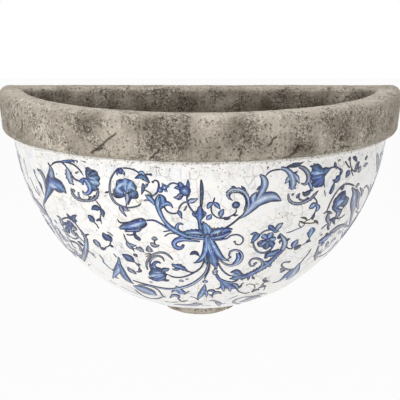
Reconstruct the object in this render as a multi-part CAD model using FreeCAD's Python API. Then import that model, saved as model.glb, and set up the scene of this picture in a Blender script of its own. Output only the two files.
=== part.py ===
"""Half-round ceramic wall planter: the half of a round pot, closed by a flat slab that lies on the wall.

Five separately formed pieces are luted face to face: the bowl, the slab that closes its back, the heavy
rim that caps both, the foot that plugs the bowl's base and holds the drain hole, and the fired glaze coat.

Frame, in millimetres: +Z is up, the wall is the plane Y = 0 and the pot stands out along -Y.
The origin lies on the wall face, midway between the two hanging holes.
"""

import FreeCAD
import Part
import math
import os

# ---- driving dimensions -------------------------------------------------------------------------
width = 390.0  # across the rim, along the wall
height = 227.0  # rim's top to the foot's flat
rim_height = 44.0  # the rim's skirt, on the outside
rim_cap = 15.0  # how much of the rim stands above the bowl's lip, which is its height inside
rim_overhang = 13.0  # the rim's widest line stands this far out from the glaze
rim_draft = 2.7  # the skirt draws in by this much towards its lower edge
rim_back = 22.0  # the rim's thickness along the wall
rim_round_outside = 10.0
rim_round_inside = 5.0
rim_round_below = 7.0
rim_corner = 8.0  # the upright corners of the opening
wall_arris = 2.0  # rounding of the rim's outline where it meets the wall

equator_drop = 23.0  # rim's top down to the bowl's widest line
clay_wall = 11.2
glaze_thickness = 0.8
slab_thickness = 15.0

foot_drop = 8.0  # how far the foot stands below the glazed bowl
foot_shoulder = 4.0  # foot's top beyond its spigot
foot_round = 75.0  # radius of the foot's domed underside
foot_flat_radius = 12.0  # the dome is cut flat at its lowest point

drain_radius = 4.5
drain_setback = 1.5  # between the slab and the drain hole
drain_land = 4.5  # clay of the spigot in front of the drain hole

hole_radius = 5.0
hole_spacing = 180.0
hole_drop = 60.0  # rim's top down to the hanging holes

# ---- what follows from them ---------------------------------------------------------------------
rim_radius = width / 2
glaze_radius = rim_radius - rim_overhang
clay_radius = glaze_radius - glaze_thickness
inner_radius = clay_radius - clay_wall

glaze_depth = height - equator_drop - foot_drop
base_round = glaze_radius ** 2 / glaze_depth  # of the glazed base: an ellipse is as round at its lowest point
base_drop = glaze_depth - base_round  # the base round's centre lies this far below the widest line
side_round = (glaze_radius ** 2 + base_drop ** 2 - base_round ** 2) / (2 * (glaze_radius - base_round))
clay_inset = glaze_thickness
inner_inset = glaze_thickness + clay_wall

rim_top_z = hole_drop
lip_z = rim_top_z - rim_cap
skirt_z = rim_top_z - rim_height
equator_z = rim_top_z - equator_drop
foot_z = rim_top_z - height

drain_y = -(slab_thickness + drain_setback + drain_radius)
spigot_radius = -drain_y + drain_radius + drain_land
foot_radius = spigot_radius + foot_shoulder

beyond = 10.0  # how far a cutting tool runs past what it cuts
same = 1e-3  # lengths closer than this are the same
up = FreeCAD.Vector(0, 0, 1)
down = FreeCAD.Vector(0, 0, -1)
out_of_wall = FreeCAD.Vector(0, -1, 0)
centre = FreeCAD.Vector(0, 0, 0)


def point(radius, z):
    """A point of an upright profile, at a radius from the pot's axis."""
    return FreeCAD.Vector(radius, 0, z)


def line(start, end):
    return Part.LineSegment(start, end).toShape()


def arc(start, through, end):
    return Part.Arc(start, through, end).toShape()


def on_round(middle, radius, tilt):
    """The point of a round that lies this far below the level of its centre, as an angle."""
    return middle + FreeCAD.Vector(radius * math.cos(tilt), 0, -radius * math.sin(tilt))


def corner_round(start, corner, end):
    """A quarter round from start to end that is tangent to both sides of a square corner."""
    bow = (start + end) * 0.5
    through = corner + (bow - corner) * (2 - math.sqrt(2))
    return arc(start, through, end)


def bowl_curve(inset):
    """The bowl's side and base rounds, from its widest line down to the axis, this far in from the glaze.

    All insets share the two centres, so every wall between two of these curves is even.
    """
    side_centre = point(glaze_radius - side_round, equator_z)
    base_centre = point(0, equator_z - base_drop)
    across = (base_centre - side_centre).normalize()
    if side_round < base_round:
        across = -across
    tilt = math.atan2(-across.z, across.x)
    widest = point(glaze_radius - inset, equator_z)
    side_middle = on_round(side_centre, side_round - inset, tilt / 2)
    join = on_round(base_centre, base_round - inset, tilt)
    base_middle = on_round(base_centre, base_round - inset, (tilt + math.pi / 2) / 2)
    lowest = point(0, base_centre.z - base_round + inset)
    return [arc(widest, side_middle, join), arc(join, base_middle, lowest)]


def half_turned(edges):
    """The solid that a closed profile sweeps in half a turn, out from the wall and back to it."""
    face = Part.Face(Part.Wire(edges))
    return face.revolve(centre, down, 180)


def half_round(radius, low_z, high_z):
    """Half a cylinder on the pot's axis, on the room's side of the wall."""
    return Part.makeCylinder(radius, high_z - low_z, point(0, low_z), up, 180).mirror(centre, out_of_wall)


def filled_bowl(inset):
    """A bowl as if it were full up to the lip, this far in from the glaze."""
    radius = glaze_radius - inset
    lowest = point(0, foot_z + foot_drop + inset)
    wall = [line(point(0, lip_z), point(radius, lip_z)), line(point(radius, lip_z), point(radius, equator_z))]
    return half_turned(wall + bowl_curve(inset) + [line(lowest, point(0, lip_z))])


def one_solid(shape):
    """The single solid that a cut or a fusion left, cleaned of leftover seams."""
    found = shape.removeSplitter().Solids
    if len(found) != 1:
        raise ValueError("expected one solid and found %d" % len(found))
    return found[0]


def bowl_shell(outside, inside):
    """Clay wall of the bowl, with a half-round opening in its base for the foot's spigot."""
    opening = half_round(spigot_radius, foot_z - beyond, equator_z)
    return one_solid(outside.cut(inside).cut(opening))


def glaze_coat(glazed, outside):
    """The glaze, from the rim's underside down to the foot's shoulder."""
    tall = half_round(glaze_radius + beyond, foot_z - beyond, skirt_z)
    bare_base = half_round(foot_radius, foot_z - beyond, equator_z)
    return one_solid(glazed.cut(outside).common(tall).cut(bare_base))


def back_slab(inside, foot):
    """Flat slab fitted in the bowl's back, with the two hanging holes through it."""
    plate = Part.makeBox(
        width, slab_thickness, height, FreeCAD.Vector(-width / 2, -slab_thickness, foot_z)
    )
    slab = inside.common(plate).cut(foot)
    for side in (-1, 1):
        start = FreeCAD.Vector(side * hole_spacing / 2, beyond, 0)
        slab = slab.cut(Part.makeCylinder(hole_radius, slab_thickness + 2 * beyond, start, out_of_wall))
    return one_solid(slab)


def rim_blank():
    """The rim as a full half-round block, with its outer rounds and its drawn-in skirt."""
    top_outer = point(rim_radius - rim_round_outside, rim_top_z)
    side_top = point(rim_radius, rim_top_z - rim_round_outside)
    side_low = point(rim_radius - rim_draft, skirt_z + rim_round_below)
    low_outer = point(rim_radius - rim_draft - rim_round_below, skirt_z)
    return half_turned([
        line(point(0, skirt_z), point(0, rim_top_z)),
        line(point(0, rim_top_z), top_outer),
        corner_round(top_outer, point(rim_radius, rim_top_z), side_top),
        line(side_top, side_low),
        corner_round(side_low, point(rim_radius - rim_draft, skirt_z), low_outer),
        line(low_outer, point(0, skirt_z)),
    ])


def rim_opening():
    """What the opening takes out of the rim: the bowl's inner round, cut off along the rim's back run."""
    block = half_round(inner_radius, lip_z - beyond, rim_top_z + beyond)
    back_run = Part.makeBox(
        width, rim_back, height, FreeCAD.Vector(-width / 2, -rim_back, lip_z - 2 * beyond)
    )
    block = block.cut(back_run)
    upright = [
        edge for edge in block.Edges
        if abs(edge.Vertexes[0].Point.z - edge.Vertexes[-1].Point.z) > rim_cap
    ]
    return block.makeFillet(rim_corner, upright)


def outline_on_wall(rim):
    """The rim's outer edges in the wall plane: along the top and down round each end."""
    found = []
    for edge in rim.Edges:
        box = edge.BoundBox
        on_wall = abs(box.YMin) < same and abs(box.YMax) < same
        along_top = box.ZMin > rim_top_z - same
        round_end = max(box.XMax, -box.XMin) > glaze_radius and box.ZMax > skirt_z + same
        if on_wall and (along_top or round_end):
            found.append(edge)
    return found


def mouth_edges(rim):
    """The edges round the opening in the rim's top face."""
    found = []
    for edge in rim.Edges:
        box = edge.BoundBox
        level = abs(box.ZMin - rim_top_z) < same and abs(box.ZMax - rim_top_z) < same
        within = max(box.XMax, -box.XMin) < inner_radius + same
        if level and within and box.YMax < -rim_back / 2:
            found.append(edge)
    return found


def rim_collar(outside):
    """Heavy half-round rim: a cap over the bowl's lip and the slab's top, and a skirt round the bowl."""
    rim = one_solid(rim_blank().cut(rim_opening()).cut(outside))
    rim = rim.makeFillet(rim_round_inside, mouth_edges(rim))
    return one_solid(rim.makeFillet(wall_arris, outline_on_wall(rim)))


def foot_plug(bowl, inside):
    """Foot and its spigot in one, moulded to the bowl inside and out, with the drain hole through it."""
    start_tilt = math.acos(foot_flat_radius / foot_round)
    end_tilt = math.acos(foot_radius / foot_round)
    dome_centre = point(0, foot_z + foot_round * math.sin(start_tilt))
    dome_start = on_round(dome_centre, foot_round, start_tilt)
    dome_middle = on_round(dome_centre, foot_round, (start_tilt + end_tilt) / 2)
    dome_end = on_round(dome_centre, foot_round, end_tilt)
    blank = half_turned([
        line(point(0, foot_z), dome_start),
        arc(dome_start, dome_middle, dome_end),
        line(dome_end, point(foot_radius, equator_z)),
        line(point(foot_radius, equator_z), point(0, equator_z)),
        line(point(0, equator_z), point(0, foot_z)),
    ])
    drain = Part.makeCylinder(drain_radius, height, FreeCAD.Vector(0, drain_y, foot_z - beyond), up)
    return one_solid(blank.cut(bowl).cut(inside).cut(drain))


def main():
    outside = filled_bowl(clay_inset)
    inside = filled_bowl(inner_inset)
    bowl = bowl_shell(outside, inside)
    foot = foot_plug(bowl, inside)
    pieces = {
        "bowl_shell": bowl,
        "back_slab": back_slab(inside, foot),
        "rim_collar": rim_collar(outside),
        "foot_plug": foot,
        "glaze_coat": glaze_coat(filled_bowl(0), outside),
    }
    os.makedirs("parts", exist_ok=True)
    for name, solid in pieces.items():
        if not solid.isValid():
            raise ValueError(name + " isn't a valid solid")
        solid.exportStep("parts/%s.step" % name)
        print("%-12s %10.0f mm3  %d faces" % (name, solid.Volume, len(solid.Faces)))


main()
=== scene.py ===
"""Half-round wall planter: its looks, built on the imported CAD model.

The clay pieces are the CAD solids with an uneven, brushed and pitted skin. The glaze is a crackled coat on
the bowl, and its blue ornament is brushwork that lies on the coat as low closed ridges.

Metres, in the frame of the CAD model: +Z is up, the wall is the plane Y = 0 and the pot stands out along -Y.
"""

import math
import random
from functools import cached_property

import bmesh
import bpy
import numpy as np
from bpy.props import FloatProperty, FloatVectorProperty, IntProperty, PointerProperty
from mathutils import Matrix, Vector, kdtree, noise
from mathutils.bvhtree import BVHTree


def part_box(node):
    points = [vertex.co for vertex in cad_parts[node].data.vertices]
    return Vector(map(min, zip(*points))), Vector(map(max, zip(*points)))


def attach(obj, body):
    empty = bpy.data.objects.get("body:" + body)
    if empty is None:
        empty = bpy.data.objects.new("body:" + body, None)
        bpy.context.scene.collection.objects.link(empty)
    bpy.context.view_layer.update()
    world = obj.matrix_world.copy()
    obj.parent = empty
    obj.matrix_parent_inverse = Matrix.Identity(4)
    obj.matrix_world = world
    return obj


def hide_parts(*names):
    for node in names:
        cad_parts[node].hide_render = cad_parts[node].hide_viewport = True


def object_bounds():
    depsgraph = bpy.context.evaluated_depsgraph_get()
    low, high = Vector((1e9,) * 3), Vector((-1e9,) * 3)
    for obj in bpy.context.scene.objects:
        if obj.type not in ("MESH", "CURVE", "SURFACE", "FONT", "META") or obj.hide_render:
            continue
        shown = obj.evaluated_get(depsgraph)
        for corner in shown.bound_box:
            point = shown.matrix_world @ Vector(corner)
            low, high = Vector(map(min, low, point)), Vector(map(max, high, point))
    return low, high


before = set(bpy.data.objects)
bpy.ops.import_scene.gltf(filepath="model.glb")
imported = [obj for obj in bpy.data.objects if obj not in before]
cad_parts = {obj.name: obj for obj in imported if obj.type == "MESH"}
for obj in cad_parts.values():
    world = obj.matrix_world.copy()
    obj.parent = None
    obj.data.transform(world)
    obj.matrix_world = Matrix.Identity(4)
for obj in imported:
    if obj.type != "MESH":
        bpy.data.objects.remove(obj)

bl_info = {
    "name": "Half-Round Wall Planter",
    "version": (1, 0, 0),
    "blender": (4, 5, 0),
    "location": "3D View > Sidebar > Planter",
    "description": "Builds the clay, the crackled glaze and the blue ornament of a half-round wall planter",
    "category": "Object",
}

CAD_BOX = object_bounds()
MM = 0.001

# The glazed bowl: its side is a round about a ring below the rim, its base a round about the pot's axis.
GLAZE_RADIUS = 182 * MM
GLAZE_DEPTH = 196 * MM
GLAZE_THICKNESS = 0.8 * MM
EQUATOR_Z = 37 * MM
BASE_ROUND = GLAZE_RADIUS**2 / GLAZE_DEPTH
BASE_Z = EQUATOR_Z - (GLAZE_DEPTH - BASE_ROUND)
SIDE_ROUND = (GLAZE_RADIUS**2 + (EQUATOR_Z - BASE_Z) ** 2 - BASE_ROUND**2) / (2 * (GLAZE_RADIUS - BASE_ROUND))
SIDE_RING = GLAZE_RADIUS - SIDE_ROUND
SKIRT_Z = 16 * MM
BEAD_Z = 13.2 * MM
BEAD_HALF = 1.7 * MM
FOOT_RADIUS = 34 * MM

# The view that the ornament is laid out in: a frame 400 wide and 400 high, seen through a long lens.
VIEW_TARGET = Vector((0, 0, -54.6 * MM))
VIEW_DISTANCE = 1.9598
VIEW_ELEVATION = math.radians(11.34)
VIEW_LENS = 180.0
VIEW_SENSOR = 36.0
VIEW_SIZE = 400
VIEW_FOCAL = VIEW_LENS / VIEW_SENSOR * VIEW_SIZE
VIEW_SCALE = VIEW_DISTANCE / VIEW_FOCAL
CAST_STEPS = 60


def colour(red, green, blue):
    """A colour written as 0 to 255 on screen, as Blender's linear values."""
    shares = (part / 255 for part in (red, green, blue))
    return tuple(part / 12.92 if part <= 0.04045 else ((part + 0.055) / 1.055) ** 2.4 for part in shares)


def colour_property(name, description, screen):
    return FloatVectorProperty(
        name=name, description=description, default=colour(*screen), subtype="COLOR", min=0, max=1
    )


class ClaySettings(bpy.types.PropertyGroup):
    """Sizes and colours of the unglazed clay."""

    grain: FloatProperty(
        name="Mesh Grain", description="Size of the faces that the clay's skin is worked in",
        default=1.2 * MM, min=0.5 * MM, unit="LENGTH",
    )
    unevenness: FloatProperty(
        name="Unevenness", description="Deepest hollow of the clay's slow waves",
        default=0.6 * MM, min=0, unit="LENGTH",
    )
    pits: IntProperty(name="Pits", description="Number of small pits in the rim", default=190, min=0)
    # Light Clay is the clay's own lighter tone, and also where the rim's painted top light leads.
    light: colour_property("Light Clay", "Bare clay where it is brushed clean", (217, 208, 194))
    middle: colour_property("Middle Clay", "Bare clay", (164, 155, 142))
    dark: colour_property("Dark Clay", "Bare clay where it is stained", (98, 89, 78))
    chalk: colour_property("Chalky Specks", "Pale specks in the clay", (222, 215, 203))
    dirt: colour_property("Dirt", "Dirt in pits and cracks", (58, 51, 42))


class GlazeSettings(bpy.types.PropertyGroup):
    """Sizes and colours of the white glaze."""

    crackle: FloatProperty(
        name="Crackle Size", description="Width of the larger pieces between the glaze's cracks",
        default=13 * MM, min=2 * MM, unit="LENGTH",
    )
    unevenness: FloatProperty(
        name="Unevenness", description="Deepest hollow of the glaze's slow waves",
        default=0.25 * MM, min=0, unit="LENGTH",
    )
    white: colour_property("White", "The glaze", (238, 236, 233))
    warm: colour_property("Warm Tint", "Patches where the glaze is creamy", (240, 236, 226))
    cool: colour_property("Cool Tint", "Patches where the glaze is thick", (228, 233, 239))
    rosy: colour_property("Rosy Tint", "Patches where clay shows through", (242, 229, 224))
    # The smoky tint serves both thin glaze and the painted shade just under the rim.
    smoky: colour_property("Smoky Tint", "Patches where the glaze is thin", (199, 199, 202))
    line: colour_property("Crack Lines", "Stain in the fine cracks", (152, 143, 134))
    pit: colour_property("Pits", "Clay in the glaze's pits", (112, 100, 84))
    soot: colour_property("Breaks", "Dirt in the glaze's breaks", (52, 44, 40))


class InkSettings(bpy.types.PropertyGroup):
    """Sizes and colours of the blue ornament."""

    height: FloatProperty(
        name="Brushwork Height", description="How far a stroke stands out from the glaze",
        default=0.05 * MM, min=0.02 * MM, unit="LENGTH",
    )
    outline: FloatProperty(
        name="Outline", description="Width of the dark line along each side of a leaf",
        default=0.85 * MM, min=0.1 * MM, unit="LENGTH",
    )
    dark: colour_property("Outline Blue", "Outlines and the darkest strokes", (22, 30, 66))
    strong: colour_property("Strong Blue", "Heavy strokes", (42, 68, 134))
    middle: colour_property("Middle Blue", "The fill of most leaves", (98, 132, 188))
    pale: colour_property("Pale Blue", "The thin wash in the lightest leaves", (184, 196, 220))
    grey_middle: colour_property("Middle Grey-Blue", "Strokes where the blue fired grey", (110, 116, 140))
    grey_pale: colour_property("Pale Grey-Blue", "Washes where the blue fired grey", (192, 193, 202))


class StageSettings(bpy.types.PropertyGroup):
    """Floor and lights."""

    floor_drop: FloatProperty(
        name="Floor", description="How far the floor lies below the hanging holes",
        default=0.9, min=0.2, unit="LENGTH",
    )
    key: FloatProperty(name="Key Light", description="Power of the light from the upper left", default=33, unit="POWER")
    fill: FloatProperty(name="Fill Light", description="Power of the light from the right", default=20, unit="POWER")
    top: FloatProperty(name="Top Light", description="Power of the light from above", default=24, unit="POWER")
    surroundings: FloatProperty(
        name="Surroundings", description="Brightness of the pale room round the pot", default=0.62, min=0
    )
    floor: colour_property("Floor", "The pale floor", (244, 243, 241))


# ---- shader expressions -------------------------------------------------------------------------------


class Signal:
    """A shader socket in a Python expression: each operator adds a Math node."""

    def __init__(self, recipe, socket):
        self.recipe = recipe
        self.socket = socket

    def _math(self, operation, *others):
        return self.recipe.add("ShaderNodeMath", {"operation": operation}, dict(enumerate(others)))

    def __add__(self, other):
        return self._math("ADD", self, other)

    def __sub__(self, other):
        return self._math("SUBTRACT", self, other)

    def __rsub__(self, other):
        return self._math("SUBTRACT", other, self)

    def __mul__(self, other):
        return self._math("MULTIPLY", self, other)

    __radd__ = __add__

    def larger(self, other):
        return self._math("MAXIMUM", self, other)

    def between(self, low, high):
        """0 below low, 1 above high and a smooth step from one to the other. High may be below low."""
        settings = {"interpolation_type": "SMOOTHSTEP"}
        return self.recipe.add("ShaderNodeMapRange", settings, {"Value": self, "From Min": low, "From Max": high})


class Recipe:
    """A material, or the world, that is built node by node."""

    def __init__(self, owner):
        owner.use_nodes = True
        self.owner = owner
        self.tree = owner.node_tree
        self.tree.nodes.clear()

    @cached_property
    def place(self):
        return self.add("ShaderNodeTexCoord", out="Object")

    def add(self, kind, settings=None, inputs=None, out=0):
        """A node of this kind. Settings are set first, then the values or links of its sockets."""
        node = self.tree.nodes.new(kind)
        for name, value in (settings or {}).items():
            if name == "stops":
                self._set_stops(node.color_ramp, value)
            else:
                setattr(node, name, value)
        for name, value in (inputs or {}).items():
            if isinstance(value, Signal):
                self.tree.links.new(value.socket, node.inputs[name])
            else:
                node.inputs[name].default_value = value
        return Signal(self, node.outputs[out])

    def _set_stops(self, ramp, stops):
        while len(ramp.elements) < len(stops):
            ramp.elements.new(1.0)
        for element, (position, shade) in zip(ramp.elements, stops):
            element.position = position
            element.color = (*shade, 1.0)

    def noise(self, size, detail=3.0, roughness=0.55, place=None, twist=0.0):
        """Cloudy noise from 0 to 1 whose clouds are about this size."""
        inputs = {"Scale": 1 / size, "Detail": detail, "Roughness": roughness, "Distortion": twist}
        inputs["Vector"] = place or self.place
        return self.add("ShaderNodeTexNoise", inputs=inputs)

    def stretched(self, scale, offset=(0.0, 0.0, 0.0)):
        """The place, drawn out or pressed together along each axis."""
        return self.add("ShaderNodeMapping", inputs={"Vector": self.place, "Scale": scale, "Location": offset})

    def wavering(self, size, amount):
        """The place, pushed about by noise of this size, so that straight edges waver."""
        push = self.add("ShaderNodeTexNoise", inputs={"Vector": self.place, "Scale": 1 / size}, out="Color")
        centred = self.vector("SUBTRACT", {0: push, 1: (0.5, 0.5, 0.5)})
        return self.vector("ADD", {0: self.place, 1: self.vector("SCALE", {0: centred, "Scale": amount})})

    def vector(self, operation, inputs):
        return self.add("ShaderNodeVectorMath", {"operation": operation}, inputs)

    def cells(self, size, feature="DISTANCE_TO_EDGE", place=None):
        """Voronoi cells of this size: the distance to their edges or middles, as a share of the size."""
        inputs = {"Vector": place or self.place, "Scale": 1 / size}
        return self.add("ShaderNodeTexVoronoi", {"feature": feature}, inputs, out="Distance")

    def specks(self, size, radius, core, place=None):
        """Round specks, one in each cell of this size. The radii are shares of the size."""
        return self.cells(size, "F1", place).between(radius, core)

    def attribute(self, name):
        return self.add("ShaderNodeAttribute", {"attribute_name": name}, out="Fac")

    def mix(self, share, first, second):
        """A colour between two colours, which are sockets or plain colours."""
        inputs = {0: share}
        for index, shade in ((6, first), (7, second)):
            inputs[index] = shade if isinstance(shade, Signal) else (*shade, 1.0)
        return self.add("ShaderNodeMix", {"data_type": "RGBA", "clamp_factor": True}, inputs, out=2)

    def ramp(self, share, stops):
        return self.add("ShaderNodeValToRGB", {"stops": stops}, {"Fac": share}, out="Color")

    def bump(self, height, distance, strength=1.0):
        inputs = {"Height": height, "Distance": distance, "Strength": strength}
        return self.add("ShaderNodeBump", inputs=inputs, out="Normal")

    def finish(self, **sockets):
        """Ends the material in one Principled shader, whose sockets are given by name."""
        inputs = {name.replace("_", " ").title().replace("Ior", "IOR"): value for name, value in sockets.items()}
        return self.end_in(self.add("ShaderNodeBsdfPrincipled", inputs=inputs, out="BSDF"))

    def end_in(self, shader, kind="ShaderNodeOutputMaterial"):
        output = self.tree.nodes.new(kind)
        self.tree.links.new(shader.socket, output.inputs["Surface"])
        return self.owner


def new_recipe(name):
    return Recipe(bpy.data.materials.new(name))


# ---- the glazed oval ----------------------------------------------------------------------------------


def nearest_on_oval(points):
    """For points near the glazed bowl: how far each lies outside it, and the way straight out."""
    x, y, z = points[:, 0], points[:, 1], points[:, 2]
    radius = np.maximum(np.hypot(x, y), 1e-9)
    on_base = (BASE_Z - z) * -SIDE_RING > (EQUATOR_Z - BASE_Z) * radius
    centre_radius = np.where(on_base, 0.0, SIDE_RING)
    centre_z = np.where(on_base, BASE_Z, np.maximum(EQUATOR_Z, z))
    across = radius - centre_radius
    along = z - centre_z
    length = np.hypot(across, along)
    distance = length - np.where(on_base, BASE_ROUND, SIDE_ROUND)
    outward = np.stack([x / radius * across, y / radius * across, along], axis=1) / length[:, None]
    return distance, outward


def perlin(points, size, shift=0.0):
    """Smooth noise from -1 to 1 at each point, whose waves are about this size."""
    return np.array([noise.noise(Vector(place)) for place in points / size + shift])


def glaze_hollows(points):
    """How deep the glaze's slow waves dip at each point."""
    waves = 0.5 + 0.35 * perlin(points, 42 * MM, 3.7) + 0.15 * perlin(points, 15 * MM, 8.1)
    return bpy.context.scene.planter_glaze.unevenness * np.clip(waves, 0, 1)


def on_glaze(points, height=0.0):
    """The points brought to the uneven glaze, or to a height above it."""
    distance, outward = nearest_on_oval(points)
    on_oval = points - outward * distance[:, None]
    lift = height - glaze_hollows(on_oval)
    return on_oval + outward * np.reshape(lift, (-1, 1))


def view_frame():
    """Where the view is seen from, with its directions to the right, up and forward."""
    back = Vector((0, -math.cos(VIEW_ELEVATION), math.sin(VIEW_ELEVATION)))
    forward = -back
    right = Vector((1, 0, 0))
    return VIEW_TARGET + back * VIEW_DISTANCE, right, right.cross(forward), forward


def view_rays(flat):
    """Directions of the sight lines through points of the view."""
    _, right, up, forward = (np.array(part) for part in view_frame())
    flat = np.asarray(flat, dtype=float)
    middle = VIEW_SIZE / 2
    rays = forward * VIEW_FOCAL + right * (flat[:, :1] - middle) + up * (middle - flat[:, 1:])
    return rays / np.linalg.norm(rays, axis=1)[:, None]


def cast(flat):
    """Points of the view brought forward onto the oval. A sight line that misses it gives the nearest place."""
    rays = view_rays(flat)
    eye = np.array(view_frame()[0])
    travelled = np.full(len(rays), VIEW_DISTANCE - 2.5 * GLAZE_RADIUS)
    best = travelled.copy()
    closest = np.full(len(rays), 1.0)
    for _ in range(CAST_STEPS):
        distance, _ = nearest_on_oval(eye + rays * travelled[:, None])
        nearer = np.abs(distance) < closest
        best[nearer] = travelled[nearer]
        closest[nearer] = np.abs(distance)[nearer]
        travelled = travelled + np.clip(distance, -5 * MM, 50 * MM)
    points = eye + rays * best[:, None]
    distance, outward = nearest_on_oval(points)
    return points - outward * distance[:, None]


def seen_at(points):
    """Where the view shows the points."""
    eye, right, up, forward = (np.array(part) for part in view_frame())
    offset = points - eye
    depth = offset @ forward
    across, below = VIEW_FOCAL * (offset @ right) / depth, -VIEW_FOCAL * (offset @ up) / depth
    return np.stack([across, below], axis=1) + VIEW_SIZE / 2


def across_path(path):
    """The way across a path on the oval, at each of its points."""
    _, outward = nearest_on_oval(path)
    across = np.cross(outward, np.gradient(path, axis=0))
    return across / np.maximum(np.linalg.norm(across, axis=1), 1e-12)[:, None]


def slant(path):
    """How much narrower the view shows a stroke along this path than one that faces it."""
    along = np.gradient(seen_at(path), axis=0)
    along /= np.maximum(np.linalg.norm(along, axis=1), 1e-12)[:, None]
    sideways = seen_at(path + across_path(path) * MM) - seen_at(path)
    shown = np.abs(sideways[:, 0] * along[:, 1] - sideways[:, 1] * along[:, 0]) * VIEW_SCALE / MM
    return np.clip(1 / np.maximum(shown, 0.1), 1, 1.7)


class Place:
    """Where a group of strokes is laid on the oval, away from where it was drawn."""

    def __init__(self, azimuth, z, turn=0.0, mirror=False, scale=1.0):
        angle = math.radians(azimuth)
        around = Vector((math.sin(angle), -math.cos(angle), 0))
        start = np.array([around * GLAZE_RADIUS + Vector((0, 0, z * MM))])
        distance, outward = nearest_on_oval(start)
        self.origin = (start - outward * distance[:, None])[0]
        sideways = Vector((math.cos(angle), math.sin(angle), 0))
        turned = Matrix.Rotation(math.radians(turn), 3, Vector(outward[0]))
        upward = Vector(outward[0]).cross(sideways)
        self.scale = scale
        self.right = np.array(turned @ sideways) * (-scale if mirror else scale) * VIEW_SCALE
        self.up = np.array(turned @ upward) * scale * VIEW_SCALE

    def lay(self, flat, middle):
        """The points of a drawing on the oval, with the drawing's middle at this place."""
        offset = np.asarray(flat, dtype=float) - middle
        points = self.origin + offset[:, :1] * self.right - offset[:, 1:] * self.up
        distance, outward = nearest_on_oval(points)
        return points - outward * distance[:, None]


# ---- brushwork ----------------------------------------------------------------------------------------

# Blue across a stroke, from one side over the middle to the other: 0 is the palest wash and 1 the dark
# outline. The fourth number is how grey the blue is.
FILLS = {
    "ink": (0.93, 0.82, 0.96, 0.35),
    "deep": (0.88, 0.58, 0.94, 0.0),
    "dark": (0.78, 0.36, 0.86, 0.0),
    "mid": (0.62, 0.14, 0.70, 0.05),
    "soft": (0.44, 0.04, 0.52, 0.5),
    "grey": (0.54, 0.20, 0.62, 0.85),
    "pale": (0.22, 0.04, 0.30, 0.25),
    "wash": (0.34, 0.20, 0.36, 1.0),
}
PLAIN = ("pale", "wash")  # fills that have no dark outline
SIDE_FADE = 0.4  # how much paler the ornament on the sides is


def line_width(t):
    return np.clip(np.minimum(t, 1 - t) * 7 + 0.35, 0, 1)


def curl_width(t):
    return 0.6 + 0.4 * np.cos(t * math.pi / 2)


def leaf_width(t):
    return np.sin(math.pi * t**0.8) ** 0.85


def petal_width(t):
    return np.sin(math.pi * np.clip(t, 0, 1) ** 1.6) ** 0.6


# How the width of each kind of stroke runs along it. A form's points carry their own widths.
WIDTHS = {
    "line": line_width,
    "curl": curl_width,
    "leaf": leaf_width,
    "petal": petal_width,
    "form": np.ones_like,
    "jag": np.ones_like,
    "saw": leaf_width,
}
TOOTHED = ("jag", "saw")
TOOTH = 3.4 * MM  # length of a tooth of a saw-edged leaf
ROW = 1.1 * MM  # distance between the cross-sections of a stroke
THINNEST = 0.12 * MM  # the least half width
BALL_SIDES = 14
OPEN_SHARE = 0.7  # how much of a stroke has to be clear of the rim, the foot and the wall

# A stroke is drawn in the view's units, some 0.98 mm each. The ink ran a little wider.
RUN_SHARE = 1.04
RUN_WIDTH = 0.25

# Strokes that cross lie at different levels. The levels in use are kept for small cells of space.
LEVEL_CELL = 2.2 * MM
LEVEL_STEP = 0.035 * MM
LEVELS = 12


def width_along(kind, t, teeth):
    """The width of a stroke at each place along it, as a share of its full width."""
    share = WIDTHS[kind](t)
    return share * (0.66 + 0.34 * ((t * teeth) % 1.0)) if kind in TOOTHED else share


def smooth_path(points, steps=12):
    """A smooth line through the given points (Catmull-Rom)."""
    points = np.asarray(points, dtype=float)
    if len(points) == 2:
        return points[0] + (points[1] - points[0]) * np.linspace(0, 1, steps)[:, None]
    ends = np.vstack([2 * points[0] - points[1], points, 2 * points[-1] - points[-2]])
    t = np.linspace(0, 1, steps, endpoint=False)[:, None]
    pieces = []
    for a, b, c, d in zip(ends, ends[1:], ends[2:], ends[3:]):
        pieces.append(0.5 * (2 * b + (c - a) * t + (2 * a - 5 * b + 4 * c - d) * t**2 + (3 * b - a - 3 * c + d) * t**3))
    return np.vstack(pieces + [points[-1:]])


def evenly(path, values, count):
    """The same line and its values with this many points at even distances."""
    lengths = np.linalg.norm(np.diff(path, axis=0), axis=1)
    run = np.concatenate([[0], np.cumsum(lengths)])
    places = np.linspace(0, run[-1], count)
    line = np.stack([np.interp(places, run, path[:, i]) for i in range(3)], axis=1)
    return line, [np.interp(places, run, value) for value in values]


def length_of(path):
    return float(np.linalg.norm(np.diff(path, axis=0), axis=1).sum())


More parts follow.
